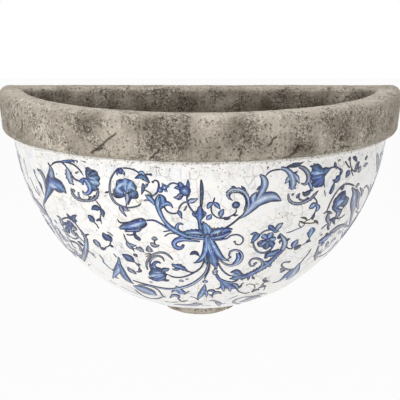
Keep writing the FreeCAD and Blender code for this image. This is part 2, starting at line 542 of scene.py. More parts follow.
class Brush:
    """Lays strokes on the glaze as low closed ridges and makes one mesh of them."""

    def __init__(self, height, outline):
        self.height = height
        self.outline = outline
        self.points = []
        self.faces = []
        self.shades = []
        self.greys = []
        self.count = 0
        self.levels = {}
        self.faded = 0.0

    def lift_over(self, points):
        """A height above the strokes that already lie at these points."""
        cells = {tuple(cell) for cell in np.floor(points / LEVEL_CELL).astype(int).tolist()}
        level = 1 + max((self.levels.get(cell, 0) for cell in cells), default=0)
        for cell in cells:
            self.levels[cell] = level
        return self.height + min(level, LEVELS) * LEVEL_STEP

    def stroke(self, kind, fill, path, widths, spread):
        """A stroke along a path on the oval. The kind says how its width runs, the fill how blue it is."""
        length = length_of(path)
        toothed = kind in TOOTHED
        teeth = max(3, round(length / TOOTH))
        rows = max(7, round(length / ROW), teeth * 5 if toothed else 0)
        path, (widths, spread) = evenly(path, (widths, spread), rows)
        t = np.linspace(0, 1, rows)
        shift = 0.5 / teeth if toothed else 0.0
        left = np.maximum(width_along(kind, t, teeth) * widths / 2, THINNEST)
        right = np.maximum(width_along(kind, np.clip(t + shift, 0, 1), teeth) * widths / 2, THINNEST)
        self.ridge(path, left * spread, right * spread, self.outline * spread, fill)

    def ridge(self, path, left, right, outline, fill):
        first, middle, last, grey = FILLS[fill]
        across = across_path(path)
        edge = last + 0.08 if fill in PLAIN else 1.0
        rim = last + 0.04 if fill in PLAIN else 0.94
        inner_left = np.maximum(left - outline, left * 0.42)
        inner_right = np.maximum(right - outline, right * 0.42)
        lift = self.lift_over(np.vstack([path - across * left[:, None], path, path + across * right[:, None]]))
        offsets = [-left, -inner_left, -inner_left * 0.55, inner_right * 0.1, inner_right * 0.65, inner_right, right]
        heights = [-0.25, 0.75, 0.95, 1.0, 0.95, 0.75, -0.25]
        tones = np.array([edge, rim, first, middle, last, rim, edge])
        thin = np.clip(3.3 - (left + right) / outline, 0, 1)[:, None] * (0.2 if fill in PLAIN else 0.7)
        columns = [on_glaze(path + across * offset[:, None], lift * high) for offset, high in zip(offsets, heights)]
        rows, wide = len(path), len(columns)
        ends = 0.16 * np.abs(np.linspace(-1, 1, rows)) ** 3
        self.points.append(np.stack(columns, axis=1).reshape(-1, 3))
        self.shades.append((tones * (1 - thin) + thin + ends[:, None]).ravel() * (1 - self.faded))
        self.greys.append(np.full(rows * wide, max(grey, 2 * self.faded)))
        base = self.count
        for i in range(rows - 1):
            start = base + i * wide
            for j in range(wide - 1):
                self.faces.append((start + j, start + j + 1, start + wide + j + 1, start + wide + j))
            self.faces.append((start + wide - 1, start, start + wide, start + 2 * wide - 1))
        self.faces.append(tuple(range(base + wide - 1, base - 1, -1)))
        end = base + (rows - 1) * wide
        self.faces.append(tuple(range(end, end + wide)))
        self.count += rows * wide

    def ball(self, fill, radius, centre):
        """A round dab, dark round its edge."""
        first, middle, last, grey = FILLS[fill]
        edge = last + 0.08 if fill in PLAIN else 1.0
        _, outward = nearest_on_oval(centre[None, :])
        sideways = np.array(Vector(outward[0]).orthogonal().normalized())
        upward = np.cross(outward[0], sideways)
        angles = np.linspace(0, 2 * math.pi, BALL_SIDES, endpoint=False)
        circle = np.cos(angles)[:, None] * sideways + np.sin(angles)[:, None] * upward
        lift = self.lift_over(centre + radius * 0.7 * np.vstack([circle, circle[:1] * 0]))
        inner = max(radius - self.outline, radius * 0.42)
        points, tones = [], []
        for size, height, tone in ((radius, -0.25, edge), (inner, 0.8, edge - 0.06), (inner * 0.6, 1.0, last)):
            points.append(on_glaze(centre + size * circle, lift * height))
            tones += [tone] * BALL_SIDES
        points.append(on_glaze(centre[None, :], lift))
        tones.append(middle)
        base = self.count
        for ring in range(2):
            for i in range(BALL_SIDES):
                a, b = base + ring * BALL_SIDES + i, base + ring * BALL_SIDES + (i + 1) % BALL_SIDES
                self.faces.append((a, b, b + BALL_SIDES, a + BALL_SIDES))
        top = base + 2 * BALL_SIDES
        for i in range(BALL_SIDES):
            self.faces.append((top + i, top + (i + 1) % BALL_SIDES, top + BALL_SIDES))
        self.faces.append(tuple(base + i for i in range(BALL_SIDES - 1, -1, -1)))
        self.points.append(np.vstack(points))
        self.shades.append(np.array(tones) * (1 - self.faded))
        self.greys.append(np.full(len(tones), max(grey, 2 * self.faded)))
        self.count += len(tones)

    def draw(self, group, place=None, middle=None):
        """Lays a group of strokes where it is drawn, or at another place on the oval."""
        scale = 1.0 if place is None else place.scale
        self.faded = 0.0 if place is None else SIDE_FADE
        for kind, fill, width, *places in group:
            marks = np.array([(*mark, width)[:3] for mark in places], dtype=float)
            if kind != "ball":
                marks = smooth_path(marks)
            path = cast(marks[:, :2]) if place is None else place.lay(marks[:, :2], middle)
            widths = (np.maximum(marks[:, 2], 0.2) * RUN_SHARE + RUN_WIDTH) * MM * scale
            if kind == "ball":
                for centre in path:
                    if self.is_open(centre[None, :]):
                        self.ball(fill, widths[0] / 2, centre)
            elif self.is_open(path):
                # The view narrows what slants away from it, so strokes are laid wider there, and thin ones less so.
                spread = np.ones(len(path)) if place else slant(path) ** (0.4 if kind in ("line", "curl") else 1)
                self.stroke(kind, fill, path, widths, spread)
                if kind == "curl":
                    self.ball(fill, widths[-1] * 0.6, path[-1])

    def is_open(self, path):
        """Whether enough of a path lies clear of the rim, the foot and the wall to be drawn."""
        clear = (path[:, 2] < SKIRT_Z - 2 * MM) & (np.hypot(path[:, 0], path[:, 1]) > FOOT_RADIUS + 3 * MM)
        return np.mean(clear & (path[:, 1] < -1 * MM)) > OPEN_SHARE

    def make(self, name, material):
        """The strokes as one piece, clear of the wall and the rim."""
        points = np.vstack(self.points)
        points[:, 1] = np.minimum(points[:, 1], -0.2 * MM)
        points[:, 2] = np.minimum(points[:, 2], SKIRT_Z - 0.8 * MM)
        mesh = bpy.data.meshes.new(name)
        mesh.from_pydata(points, [], self.faces)
        mesh.attributes.new("shade", "FLOAT", "POINT").data.foreach_set("value", np.concatenate(self.shades))
        mesh.attributes.new("grey", "FLOAT", "POINT").data.foreach_set("value", np.concatenate(self.greys))
        mesh.shade_smooth()
        return new_piece(name, mesh, material)


def new_piece(name, mesh, material):
    piece = bpy.data.objects.new(name, mesh)
    bpy.context.scene.collection.objects.link(piece)
    mesh.materials.clear()
    mesh.materials.append(material)
    return piece


def drawn(text):
    """The strokes of a drawing, one to a line. A line that ends in a comma goes on in the next."""
    strokes = []
    for line in text.replace(",\n", ",").strip().split("\n"):
        head, points = line.split(":")
        kind, fill, *width = head.split()
        marks = [tuple(float(number) for number in mark.split()) for mark in points.split(",")]
        strokes.append((kind, fill, float(width[0]) if width else 0.0, *marks))
    return strokes


# The ornament, in the view's frame and units. Each stroke has a kind, a fill and a width, and after the colon
# its points. Where a stroke has no width of its own, each point has one as its third number.
CENTRE = drawn("""
    form mid: 179 234.4 2, 190 235.2 6, 206 236 8, 218 234 7, 230 230.6 2
    form mid: 208 239 7, 209.6 248 12, 211.6 256 14, 213.6 262 7
    form ink: 201 179.5 1.2, 201.6 185 3.2, 201.8 194 3.8, 201.2 204 3, 200.4 210 2.6
    form dark: 200 206 2.6, 200 211 7, 199.7 215.5 9.6, 199.5 218.5 6.5, 199.4 221 3.8, 200.5 227 4.6, 203 234 8
    leaf dark 3.6: 197 211, 193.6 214, 196 218
    leaf dark 3.4: 202 211, 205 213.6, 203 217.6
    jag dark: 206 234 10, 199 232.6 8.5, 191 232.4 7.2, 183 233.4 5.6, 176.5 230.6 3
    leaf pale 3: 203 233.6, 194 232.6, 186 233.6
    form mid: 207 239 3, 197 238 3.8, 188 236.8 4, 179 237.6 4.6
    form mid: 200 241.6 1.6, 191 240.6 2.6, 183.5 239.4 4.6, 177.4 240.2 6, 174 243.6 5.2, 176 247.4 4.6,
        180.4 248.2 3.8, 183.4 246.2 2.8
    ball dark 3.4: 183 245.6
    form mid: 179 233 5, 176.6 228.6 4.2, 177.6 224.8 3.2, 180.4 223.6 2.4, 183.2 225 1.4
    line grey 1.6: 178 232, 171 230.8, 163 231.8
    line grey 1.6: 177 234, 170 233.4, 164.2 236.6
    leaf dark 8.5: 206 237, 205.6 229, 202.6 221
    jag mid: 209 237 7, 209.6 231 8, 206.6 226 5, 203 221.5 1.4
    jag dark: 209 236 9, 215 232 8.6, 221 230.4 7.6, 227.4 229.8 6, 232.6 228.8 1.8
    leaf pale 3.4: 212 234, 219 231.6, 227 230.8
    form mid: 208 238.4 3.4, 216 237.6 5, 224 235.6 4.6, 231.6 231.4 1.4
    line dark 1.3: 214 237, 222 235, 229 231.6
    curl soft 2.2: 210 240, 219 240, 227 238.4, 231 235.6, 237 234.8, 242 237, 243.2 241, 240.2 244.6,
        236.2 244.4, 234.6 241.8
    form mid: 206 237 5, 206.4 246 6.6, 205 253 6.4, 201.4 258.6 4.6, 194.6 263.4 1.2
    form mid: 210 238 5, 213.6 246 7, 217.6 253 7, 222.6 258.4 4.4, 229 261 1
    form dark: 208.4 238 5, 209.6 246 7, 211.6 254 10, 214 261 9, 216.8 269.4 1
    leaf dark 3.6: 206 251, 205.4 259, 207.8 267
    leaf dark 3.4: 211 254, 210.6 260, 212.4 265
    leaf pale 3: 208 241, 209 249, 212.4 258
    leaf pale 2.2: 212 243, 215 249, 219 254
    ball dark 7.4: 207.2 236.4
    line dark 1.8: 207 252, 203.6 258.6, 199.6 262.2, 193 263
    leaf ink 4.4: 189.8 255, 195 252.8, 199.8 256.8
    form soft: 217 256 1.8, 221 261 2.2, 226 264.6 2.4, 232 265.4 2.8, 238.4 262.6 3.8, 242 257.4 3.6,
        240.6 252.2 2.8, 235.4 250.2 2.4, 230.4 251.8 2.2, 229 256 2
    ball ink 3.2: 230 257.4
    form mid: 237.4 253 3.2, 238.6 257.4 5, 236.6 261.6 4, 233 264 2
    line dark 1.5: 220 259, 225.6 260.2, 229.4 258.4
    line grey 1.6: 209.4 258, 209.8 265, 208.6 271, 205.4 277, 204.6 280
    ball soft 5.6: 205.2 281.8
    line dark 2: 217.6 262, 220 267, 224 272, 229 275.4, 233 276
    line ink 1.6: 215.6 266, 214.4 270
    ball pale 3.8: 215.2 272.2
    curl ink 1.2: 217.4 271, 216.4 274.6, 213.6 274.2, 212.8 271.4, 215 269.8, 217.4 271
    form dark: 216 274 3, 218.2 278 3.6, 220.8 282 2.8, 221.2 286 2, 218.6 288.8 1.6, 215.6 289 1
    form mid: 217 277 2, 223 280.8 2.8, 230 282.6 2.6, 236 281 1.8, 238.6 279 1
    saw dark 8.6: 221 280.6, 228 285.6, 237.4 289
    leaf mid 4.6: 222.4 283.6, 223.2 288, 224 292
    leaf mid 4.4: 228.4 285.6, 229.8 289, 230.4 292
    leaf mid 4.4: 232 283.6, 236.4 285.6, 237.2 289.4
    line ink 1.5: 236 288.8, 239.4 292, 245 293.4, 249.6 292.4
    line ink 1.6: 240 288, 241.4 284.6, 244 282.6
    leaf ink 3.6: 237.6 289, 239.4 287, 242.6 285.6
    form mid: 204.8 284.4 1.4, 203.8 289 5.4, 201 294.6 6, 197.6 299.8 1.4
    leaf mid 3.6: 203 289, 206.6 293, 206.2 298
    line ink 1.3: 190 296.4, 195 298, 199 300.6
    leaf dark 3.8: 207.4 291.4, 211.4 290.6, 215.6 292.6
    leaf grey 4.4: 213 295, 217 292.6, 221.6 294
    leaf dark 2.8: 208.6 294.6, 211.4 295.4, 212.8 298
    line grey 2.8: 209 301, 213 300.8, 217.6 302, 219 305.4
    leaf grey 5: 215.6 301.6, 218.6 303.4, 219.4 306.4
    line grey 2.2: 217 302, 221.6 304, 226 303.2
    line wash 1.9: 196 303, 203 305.4, 211 306
""")

LEFT_TULIP = drawn("""
    form mid: 188 237 5, 178 232.4 5.8, 170 227 4.8, 163.8 220 4, 160 213 4.8, 157.8 206 5.6, 157.2 200 4.8,
        159 194.2 1.6
    form dark: 159 194.4 1.6, 162.4 198 6, 162.6 203.6 7.4, 160 208 4
    form mid: 161 205.6 5, 166.4 203.4 5.2, 170.6 204.8 3.2, 172.8 208 0.9
    leaf pale 2.4: 158.2 210, 158.2 203, 160.4 197
    form mid: 145 194.8 1, 148.6 197.4 4.6, 152.6 201.4 4.8, 154.6 205.4 1.4
    line ink 2: 147.4 194, 151.6 196.2, 155.6 194, 158 190.6, 158.8 186
    line dark 1.9: 163.6 206, 166.8 211, 172 213.6, 178 213
    form dark: 177.6 210.6 2, 179.6 213 4.6, 181 216.6 2.4, 181.8 219 0.9
    line grey 1.9: 178.6 210, 180 206.4, 183 203.2, 187 201.8
    line grey 1.9: 186.6 205.6, 185.6 208.4, 183.8 211
    form dark: 182.6 190 7, 181.2 186.4 6, 180 183.6 5, 180 181.8 2
    leaf dark 4.4: 181 189.4, 177.6 187.6, 173.6 188.4
    form grey: 183 193 4, 179.6 196.4 5.6, 176.4 197.6 3.4, 173.4 197.2 1
    leaf dark 3.4: 182 195, 179.6 199, 177 200
    form dark: 187.8 179.6 1, 188 184 3.4, 187.2 189 4.4
    leaf dark 3.4: 186 192, 188 195, 186.6 198
    ball mid 10.6: 185 190.8
    ball pale 4.6: 184.4 190.4
    line dark 2: 186.8 195, 187.4 201, 189 206, 192.4 211, 196 215.4
    form soft: 188 203 2, 191 201.2 5.6, 194.2 200.4 4.4, 198.2 198.4 0.9
    line grey 1.7: 167.6 186.4, 170 184, 173.4 183, 178 184.4
    ball mid 6: 160 190
    ball mid 5.6: 164.4 187.2
    leaf dark 2.8: 164.6 186.6, 163 184.6, 161.6 183
    leaf dark 3.2: 165 187.4, 167.6 186.6, 169.4 187.2
    leaf dark 3.2: 163.6 190, 166 190.6, 167.6 192.2
    ball pale 2.6: 160 190.2
    ball pale 2.2: 164.6 187
    curl ink 2.2: 158.6 188, 158.8 184.4, 157.6 181.4, 154.8 180.4, 152.8 182
""")

POPPY = drawn("""
    form grey: 117.6 168.6 1.4, 113.4 174 1.8, 110.2 181 2, 109.6 190 2.4, 111.4 197 2.8, 115 202.4 2.6,
        120 205.6 2.2, 126 207.6 1.9, 132 207.4 1.8, 138 206 1.7, 141 203.4 1
    line ink 1.6: 116.6 168.8, 124 168, 131 169, 136 171, 140 174
    ball dark 6.4: 120.4 171
    leaf dark 3.2: 121 171.6, 123.6 173, 124.8 176
    leaf dark 3: 119 171, 117.2 173, 117.6 175.6
    petal deep 11.5: 125.6 196, 120 194, 113.2 189.4
    petal deep 11.5: 125.6 194, 130 195, 137.6 191.4
    petal deep 10.5: 126 193, 122 186, 116 181
    petal deep 10: 126 193, 130.4 188, 136.8 186
    petal mid 13.5: 126 194, 126.4 186, 124.8 178
    petal mid 10.5: 126 194, 129.6 187, 132 180.4
    petal mid 9: 125 194, 119.4 191, 115.6 186.6
    leaf pale 4.2: 116 189, 122 184, 130 184.6
    leaf pale 3.4: 129 187, 133 188, 135.6 191.6
    ball dark 2.8: 122.6 190, 128.4 190, 125.4 191.6, 131 192.4, 120.6 192.8
    line dark 1.5: 134 196, 130.6 199.4, 128 205
    form soft: 127 193.6 4, 127.4 198.4 5.6, 126.8 203 2.4, 126 207 0.9
    form grey: 119.4 204.6 1.6, 121 208.6 4.2, 123.4 213 2.8, 126.6 216.8 0.9
    leaf grey 4: 123 205.6, 126 209.6, 130 210.8
    form deep: 134.8 178.4 1.2, 138.2 177 4, 142.4 176.6 6, 146.2 179.4 5, 149.8 183 1
    leaf mid 4: 137.6 174, 142 172.6, 145.4 176.6
    line pale 1.4: 138 178.4, 143 178, 147 181.4
    curl ink 2.4: 142.6 176, 146.6 174.4, 150.6 174.6
    form deep: 142.6 183 1, 143.4 186.4 4, 142.8 190.2 3.4, 141.4 194.6 0.9
    leaf dark 3: 143 188, 146.4 185.6, 148.6 182.6
    line grey 1.6: 144 190, 148 191.6, 152 195
    leaf grey 2.4: 143.6 201, 147.4 200, 151 201.6
    leaf ink 2.2: 104.6 193, 107 192.2, 109.6 191.4
    line ink 1.6: 110.8 193, 114 195.6, 118 197
""")

SIDE_TULIP = drawn("""
    form mid: 141 226 5, 137 229 7, 131.6 230.2 4.6, 125 230.8 1.6
    form dark: 146.2 221.6 5.6, 143 222.4 10, 137 224.6 11.4, 130 226.6 8.8, 123 227.4 6, 119.4 228.8 2.4
    leaf pale 4.6: 143 222.4, 134 225.6, 127 226
    line ink 2: 147 220.4, 138 219.4, 130 222, 123 223, 119 222, 117.4 219
    form ink: 134.6 230.4 3, 134.6 234 3.2, 136.4 237.4 4, 139.4 239.2 3.4
    ball ink 4.4: 138.8 239.2
    line ink 1.8: 124.4 231.6, 130.6 231.4
    line ink 1.8: 126 234.6, 131 235.2, 135 233.6
    form dark: 146.6 220.4 1.8, 154 220.6 2, 161 224 2.2, 169 229 2.6, 177 233 3
""")

DIAMOND_SPRIG = drawn("""
    line ink 1.5: 123.4 233.6, 125.4 239, 129 244.4, 132.6 248, 134.2 252
    leaf grey 4.4: 126.4 240.6, 129.6 246.6, 134 250.4
    leaf mid 3.4: 128.6 243.4, 132.4 245.6, 136.6 245.4
    line ink 1.2: 133.6 248.4, 137.4 249.4, 141 249
    saw grey 6.4: 136.6 249.4, 141 249.6, 145 253
    form grey: 148 245.6 1.2, 148.8 248.6 5.4, 149.6 251.6 6.6, 149.8 252.4 3
    form grey: 150.6 242.6 1.6, 153 244.6 4.8, 156 246 3.8, 159.2 245 1
    form grey: 152 237.4 3, 154.4 238.8 4.6, 157 238 3.4
    line ink 1.6: 154.4 240, 154.6 243.4
    form deep: 121.6 254.4 1, 126.4 256.8 5.6, 130.4 259.4 6.4, 134.4 262.4 1
    leaf ink 3.4: 133.4 253.4, 137.6 257.4
    line grey 1.5: 134 261.4, 137 264.6, 139.6 268, 138.6 271.4, 135 272
    ball ink 3.8: 139 264.6
    form grey: 127.6 267 1, 130.6 270.4 4.6, 133.4 272.4 3.8, 136.4 274.2 1
    leaf ink 2.8: 138 268.4, 140.6 271, 138.2 273
    line grey 1.8: 104 262.6, 108.6 267.4, 113.4 270.4
    line ink 1.4: 113.4 253.6, 116.6 257.6
    line grey 1.6: 99 254.6, 102.4 259, 104 263.6
""")

LOWER_BELL = drawn("""
    form mid: 118.4 257 1.6, 119 262 3.8, 118.4 267 7, 116.4 272 6.6, 112.6 278.4 1.4
    form dark: 119.6 264 3.4, 121.6 270 6, 124.6 276 5.8, 128.6 280.8 4.6, 134 284.4 1
    leaf pale 3.6: 118.6 265, 118.8 270, 117 275
    leaf grey 3: 113.4 277.4, 116.6 277.4, 119 279
    leaf ink 2.6: 112 270.6, 115 269.8, 117 268
    form soft: 133 280.4 1.2, 141 283.2 1.9, 150 285.5 2.4, 160 288 2.8, 170 289.2 2.8, 178 288.6 3.2,
        187 286.4 3.2, 195 282.5 3.2, 203 276 3, 207 269 2.6, 208.6 262 1.8, 209.4 255 1.2
    form mid: 176 286 1.2, 179 289.4 5.4, 181.4 292.4 6.4, 184.6 294.6 1.4
    leaf mid 3.8: 180 291, 175.6 290.8, 171.4 292.6
    form dark: 170 298 1, 173.6 295.6 4, 177 295.6 4.4, 179 297.6 2.4
    line ink 2.2: 178 295, 178.6 299, 181.6 301.4, 188 300.6
    curl ink 1.7: 182.4 293.6, 186.4 293.4, 188.6 291.4
    ball wash 3.6: 151 282.4
    form mid: 133 286 1, 139 288.2 9, 146.6 291.2 12, 152 293.6 9, 157 295.6 1
    leaf grey 4.4: 138 288.8, 145 291.6, 152 294.4
    line grey 1.8: 138 284.6, 150 286.4, 158 290, 162.6 295.8, 166 297.4
    line grey 1.8: 163.4 296.8, 156 298.8, 147 297.4, 139.6 293.6, 135 289.6
    line wash 2.2: 120 286, 128 290, 138 294.6
    line wash 2.4: 109.6 280.6, 116.6 284.4
    line wash 2: 121 290.6, 130 295.6, 142 299.6
    form grey: 174 304.4 2.4, 184 305.2 5, 193 305.2 6.4, 199.6 303.2 5
    line wash 1.6: 160 303.6, 166 306
    line grey 2.4: 164.4 301, 171 302.4, 178 302
""")

CURLED_CARNATION = drawn("""
    form grey: 147.6 270 1.4, 146.4 264.4 2.4, 148.6 258.6 2.6, 153 254.6 2.4, 159.4 252.6 2.4, 165.4 253.4 2.4,
        170 256.8 2.2, 172.8 260 1.2
    form grey: 150.4 269 1.4, 149.8 262.8 2.4, 152.6 258 2.4, 157.6 256 2.4, 162 257.6 2.2, 164.4 261.6 1
    form dark: 151 272 2, 152.6 266.4 4, 154.6 263 3.6, 158 262 2.6, 160.8 263.6 1.2
    form mid: 153.6 264.4 3, 155 268.4 5.6, 158.4 272 5, 163.6 274.4 3
    petal deep 8.4: 167 274.6, 159 271.4, 150.4 271
    petal mid 8.4: 167 275, 158 274.6, 149.8 276.2
    petal deep 8: 167 275.6, 159.6 277.6, 152.4 280.4
    leaf dark 5: 166 276, 161 279.6, 156.6 281.6
    leaf pale 2.6: 163 274, 157.6 272.6, 152.4 273
    leaf pale 2.2: 163.6 275.8, 158 276.8, 153 278.4
    leaf ink 3.4: 162 279, 165.6 280.4, 169.6 280
    line dark 1.4: 166 273, 158.6 273.6, 150.6 274
    line dark 1.4: 166 276, 158.6 278, 153 279.4
    leaf ink 2.6: 153 270.6, 150.6 272, 148.6 274.6
    leaf ink 2.6: 153 279.6, 150.6 278.4, 148.4 276.4
    form dark: 162.4 271.6 3, 165 269.8 5.4, 169.4 268.6 1
    line dark 1.4: 155.6 266, 157.6 269.6, 162 272
    jag dark: 171.4 264 1.6, 175.4 266 5.6, 180.4 267.4 7.2, 184.6 269.6 4.4, 188 272 1.6
    leaf pale 2.2: 174 266, 179 267, 183 269.4
    leaf dark 3.2: 180 268.6, 175.6 269.6, 171.6 269
    line ink 2.1: 166.6 274, 172.4 276.8, 180 277.6, 188 275.6, 196 271.6, 201.4 267, 204.6 260, 206.6 253
    line ink 2: 186.6 271, 192 272.6, 198 271
    ball wash 5: 181.4 281
    ball wash 3.4: 187 279.4
""")

LEFT_CARNATION = drawn("""
    line ink 1.9: 50.4 166, 54 162.8, 60 161.8, 67 162.4, 73 164.4, 79 169.4, 83.6 176
    form dark: 58 162 1.4, 65 161.4 3, 71 160.6 3, 77.6 160 1
    leaf ink 2.8: 70 158.4, 73 160.6, 74.4 163.6
    leaf ink 2.4: 74 158.6, 77 160.4, 76.6 163.6
    line ink 1.9: 61 162.4, 64.6 165, 67.4 169, 68 173
    jag soft: 66.6 167.6 2, 68 172.6 7.4, 69.4 177.6 8, 71 181.6 5.6, 74 185 1.4
    line ink 2: 69 170, 72 175.6, 75.4 179.6, 79 180.8
    petal deep 9.5: 86 180, 88.4 175, 91 168.6
    petal deep 10: 86 180, 92 175.6, 97.6 172
    petal deep 9.5: 86 181, 93 178.6, 100.2 177.4
    petal mid 9.5: 86 182, 93 182.4, 100 183.4
    petal deep 8.5: 87 183, 92.6 186, 97.4 189.6
    leaf pale 2.8: 88.6 177.6, 93 178.4, 97.6 181.4
    leaf pale 2.4: 90 181.6, 93.4 183.4, 96.6 186
    leaf ink 3: 88.4 171.4, 87.4 168.8, 84.4 168.2
    leaf ink 2.6: 89.4 171, 88.6 168.8, 87.4 166.8
    form mid: 83 179 3, 86.6 181.4 5.6, 89.6 186 5.8, 89.8 191 5.4, 86.4 194 3.6, 83.4 193 2.4, 82.6 190.6 1.2
    form dark: 84.6 178.6 3, 82 180.4 4.4, 80 181.4 3, 78.6 181.6 1
    leaf dark 3.2: 84 181, 82 183.6, 84.4 184.8
    jag grey: 71 188.4 1.8, 72.4 193.4 3.6, 76 198 3.8, 82 200.4 3.8, 89 200.6 3.8, 95 198.4 4.4, 97.6 194 4.2,
        98 188 1.8
    form soft: 78.4 192 2, 78.8 196.4 2.2, 81.4 199.4 1.8, 85 200.6 1
    leaf grey 3.2: 71.6 190.4, 74 190.4, 74.4 192.6
    line ink 1.6: 87.6 200, 91.6 196
    line ink 1.6: 91.6 199.6, 94.6 195
    line ink 1.6: 88 196, 90.6 198
    line ink 1.5: 95 200, 98 203.6, 100.4 207, 101.2 212, 100.2 218, 101.6 224
    form deep: 91.6 209.6 1.6, 94 208 5.4, 97.4 208 5.6, 100.4 209 1.4
    form deep: 100.8 208.4 1.4, 102.4 212.4 4.8, 103.4 217.4 1
    form deep: 87.6 216.6 2.6, 90.4 218 5.6, 92.6 220.6 5, 94 222.4 1.4
    leaf ink 3: 96 221.4, 99.6 219.6, 101.6 223
    line ink 1.6: 93.4 222, 96.4 224.6, 98.8 229
""")

MID_LEAVES = drawn("""
    form deep: 102.6 232.6 1.2, 105.4 236.4 6.4, 109 239 6.4, 111.4 242 1.4
    line ink 1.4: 106.6 232, 110 233.6, 113.2 236.6
    form grey: 94.8 239.4 2, 96 242 5.2, 98 245.4 4.4, 99.4 247.4 1.6
    leaf ink 3.6: 99.6 246.8, 102.4 248.8, 106.4 248
    line ink 1.4: 105 247.6, 109 245.8, 110.8 241.6
    leaf ink 2.6: 109 245, 111.6 246.2, 114 247.6
    line ink 1.4: 87.4 250, 91.6 254, 96 258.4
    line grey 1.6: 92 252.6, 94.8 255.6
""")

BELL = drawn("""
    form grey: 47.6 162.6 1, 49.6 166 2.2, 51 170.4 4.8, 51.2 175.4 7.2, 51 180.6 9.5
    form dark: 51 178 9, 49.8 185.4 9.6, 48 191.4 7, 46 197.4 3.8, 44.4 203 1.6
    form dark: 50.6 181.6 8, 55.4 184.4 11.5, 59.6 186.6 10.6, 62.6 189 7, 64.6 191.2 3.4, 66.4 193.6 0.9
    leaf mid 6.6: 50 181.6, 53.6 185.6, 58.4 188
    leaf pale 5.4: 48.6 184, 52.6 186, 57.4 188
    leaf pale 2.6: 51 169, 51.6 175, 50.6 180
    line grey 2.2: 45.2 198, 43.6 204, 45 209.6, 47.8 214
    line grey 1.7: 33.6 171.4, 36 177, 39.4 184, 42 190.6, 44.4 195.4
    line grey 1.9: 29.6 177, 32.6 183.6, 35.6 190.4, 40.6 196.6
    form grey: 37.6 169.6 1.6, 41 172.8 3.6, 43.8 178 4, 45 184 2.6, 46 190 1.4
    ball grey 4.6: 34.4 171.4
    ball grey 3.2: 37.6 169.6
    form ink: 38.4 181.6 1, 40.4 185 3.4, 42 190 1.4
    line grey 1.5: 36 186, 37.4 190, 40 194
    line wash 3.2: 18 155.4, 21 166, 25.4 179, 31 192
    line wash 2.2: 23.4 158, 26 170, 28.6 179
    form grey: 31.4 190 2, 34 198 5, 38.4 205 9, 43 210 7.6, 47.6 215 2
    form wash: 47 214 2, 53 226 4.4, 60 238 4.4, 68 249 5, 76 256.6 5
    leaf grey 3.4: 56 228, 59 230.6, 59.4 234
    leaf grey 4.6: 61.4 234.6, 64 237.6, 65.6 241.4
    leaf grey 2.6: 54 220, 55.6 221.6, 56.4 223.6
""")

LEFT_RING = drawn("""
    form grey: 56.6 215.8 1, 60 218.4 3, 61.6 222 5, 61.8 225.6 2
    form ink: 66.4 213.4 1, 68.6 216.4 3, 71.4 219.8 3.4
    form deep: 76.4 215 1.2, 73.6 217 4.6, 74 220.6 5.8, 75.4 223 2
    line ink 1.9: 61.6 219.4, 66.4 217.8, 71.4 219.6, 76 224.4, 79.6 229.4, 83.4 234
    line grey 1.8: 61.4 223.6, 64.2 229.4, 68 234.4, 72 237.8, 75.6 238.8, 78 236.8, 76.4 232.4
    line ink 1.7: 78 236, 81.4 239.6, 84.6 243.4
    petal deep 6.6: 71 228.6, 70.6 225, 69.8 220.8
    petal deep 5.8: 70.6 228, 67.6 226, 64.8 221.6
    petal deep 6.4: 71.4 228, 68 229, 67 232.6
    petal grey 6: 71.4 228, 74 228.4, 76 231
    ball mid 5: 70 227.6
    form grey: 72 230 2, 73.6 233 5.4, 75.8 236.4 2
    jag grey: 80.4 229.6 1.4, 82.8 234 3.6, 85.6 239 4.6, 86.2 246 6, 85 253 7.4, 82.6 260.4 6
    leaf pale 3.6: 85 240, 86 247, 84.6 255
    leaf ink 2.4: 84.6 236.4, 87 234.6, 89.6 234.6
    form grey: 70.4 241 1.4, 75.6 242.8 2.4, 79.6 246.6 3, 81.6 252 3.4
    line ink 1.9: 70.6 241.6, 72.8 246, 76 248.6
    form ink: 77.6 241.6 1.6, 80.4 243.6 4, 83 246 3
    form grey: 68 249 2, 73.6 253 3.6, 80 257 4
""")

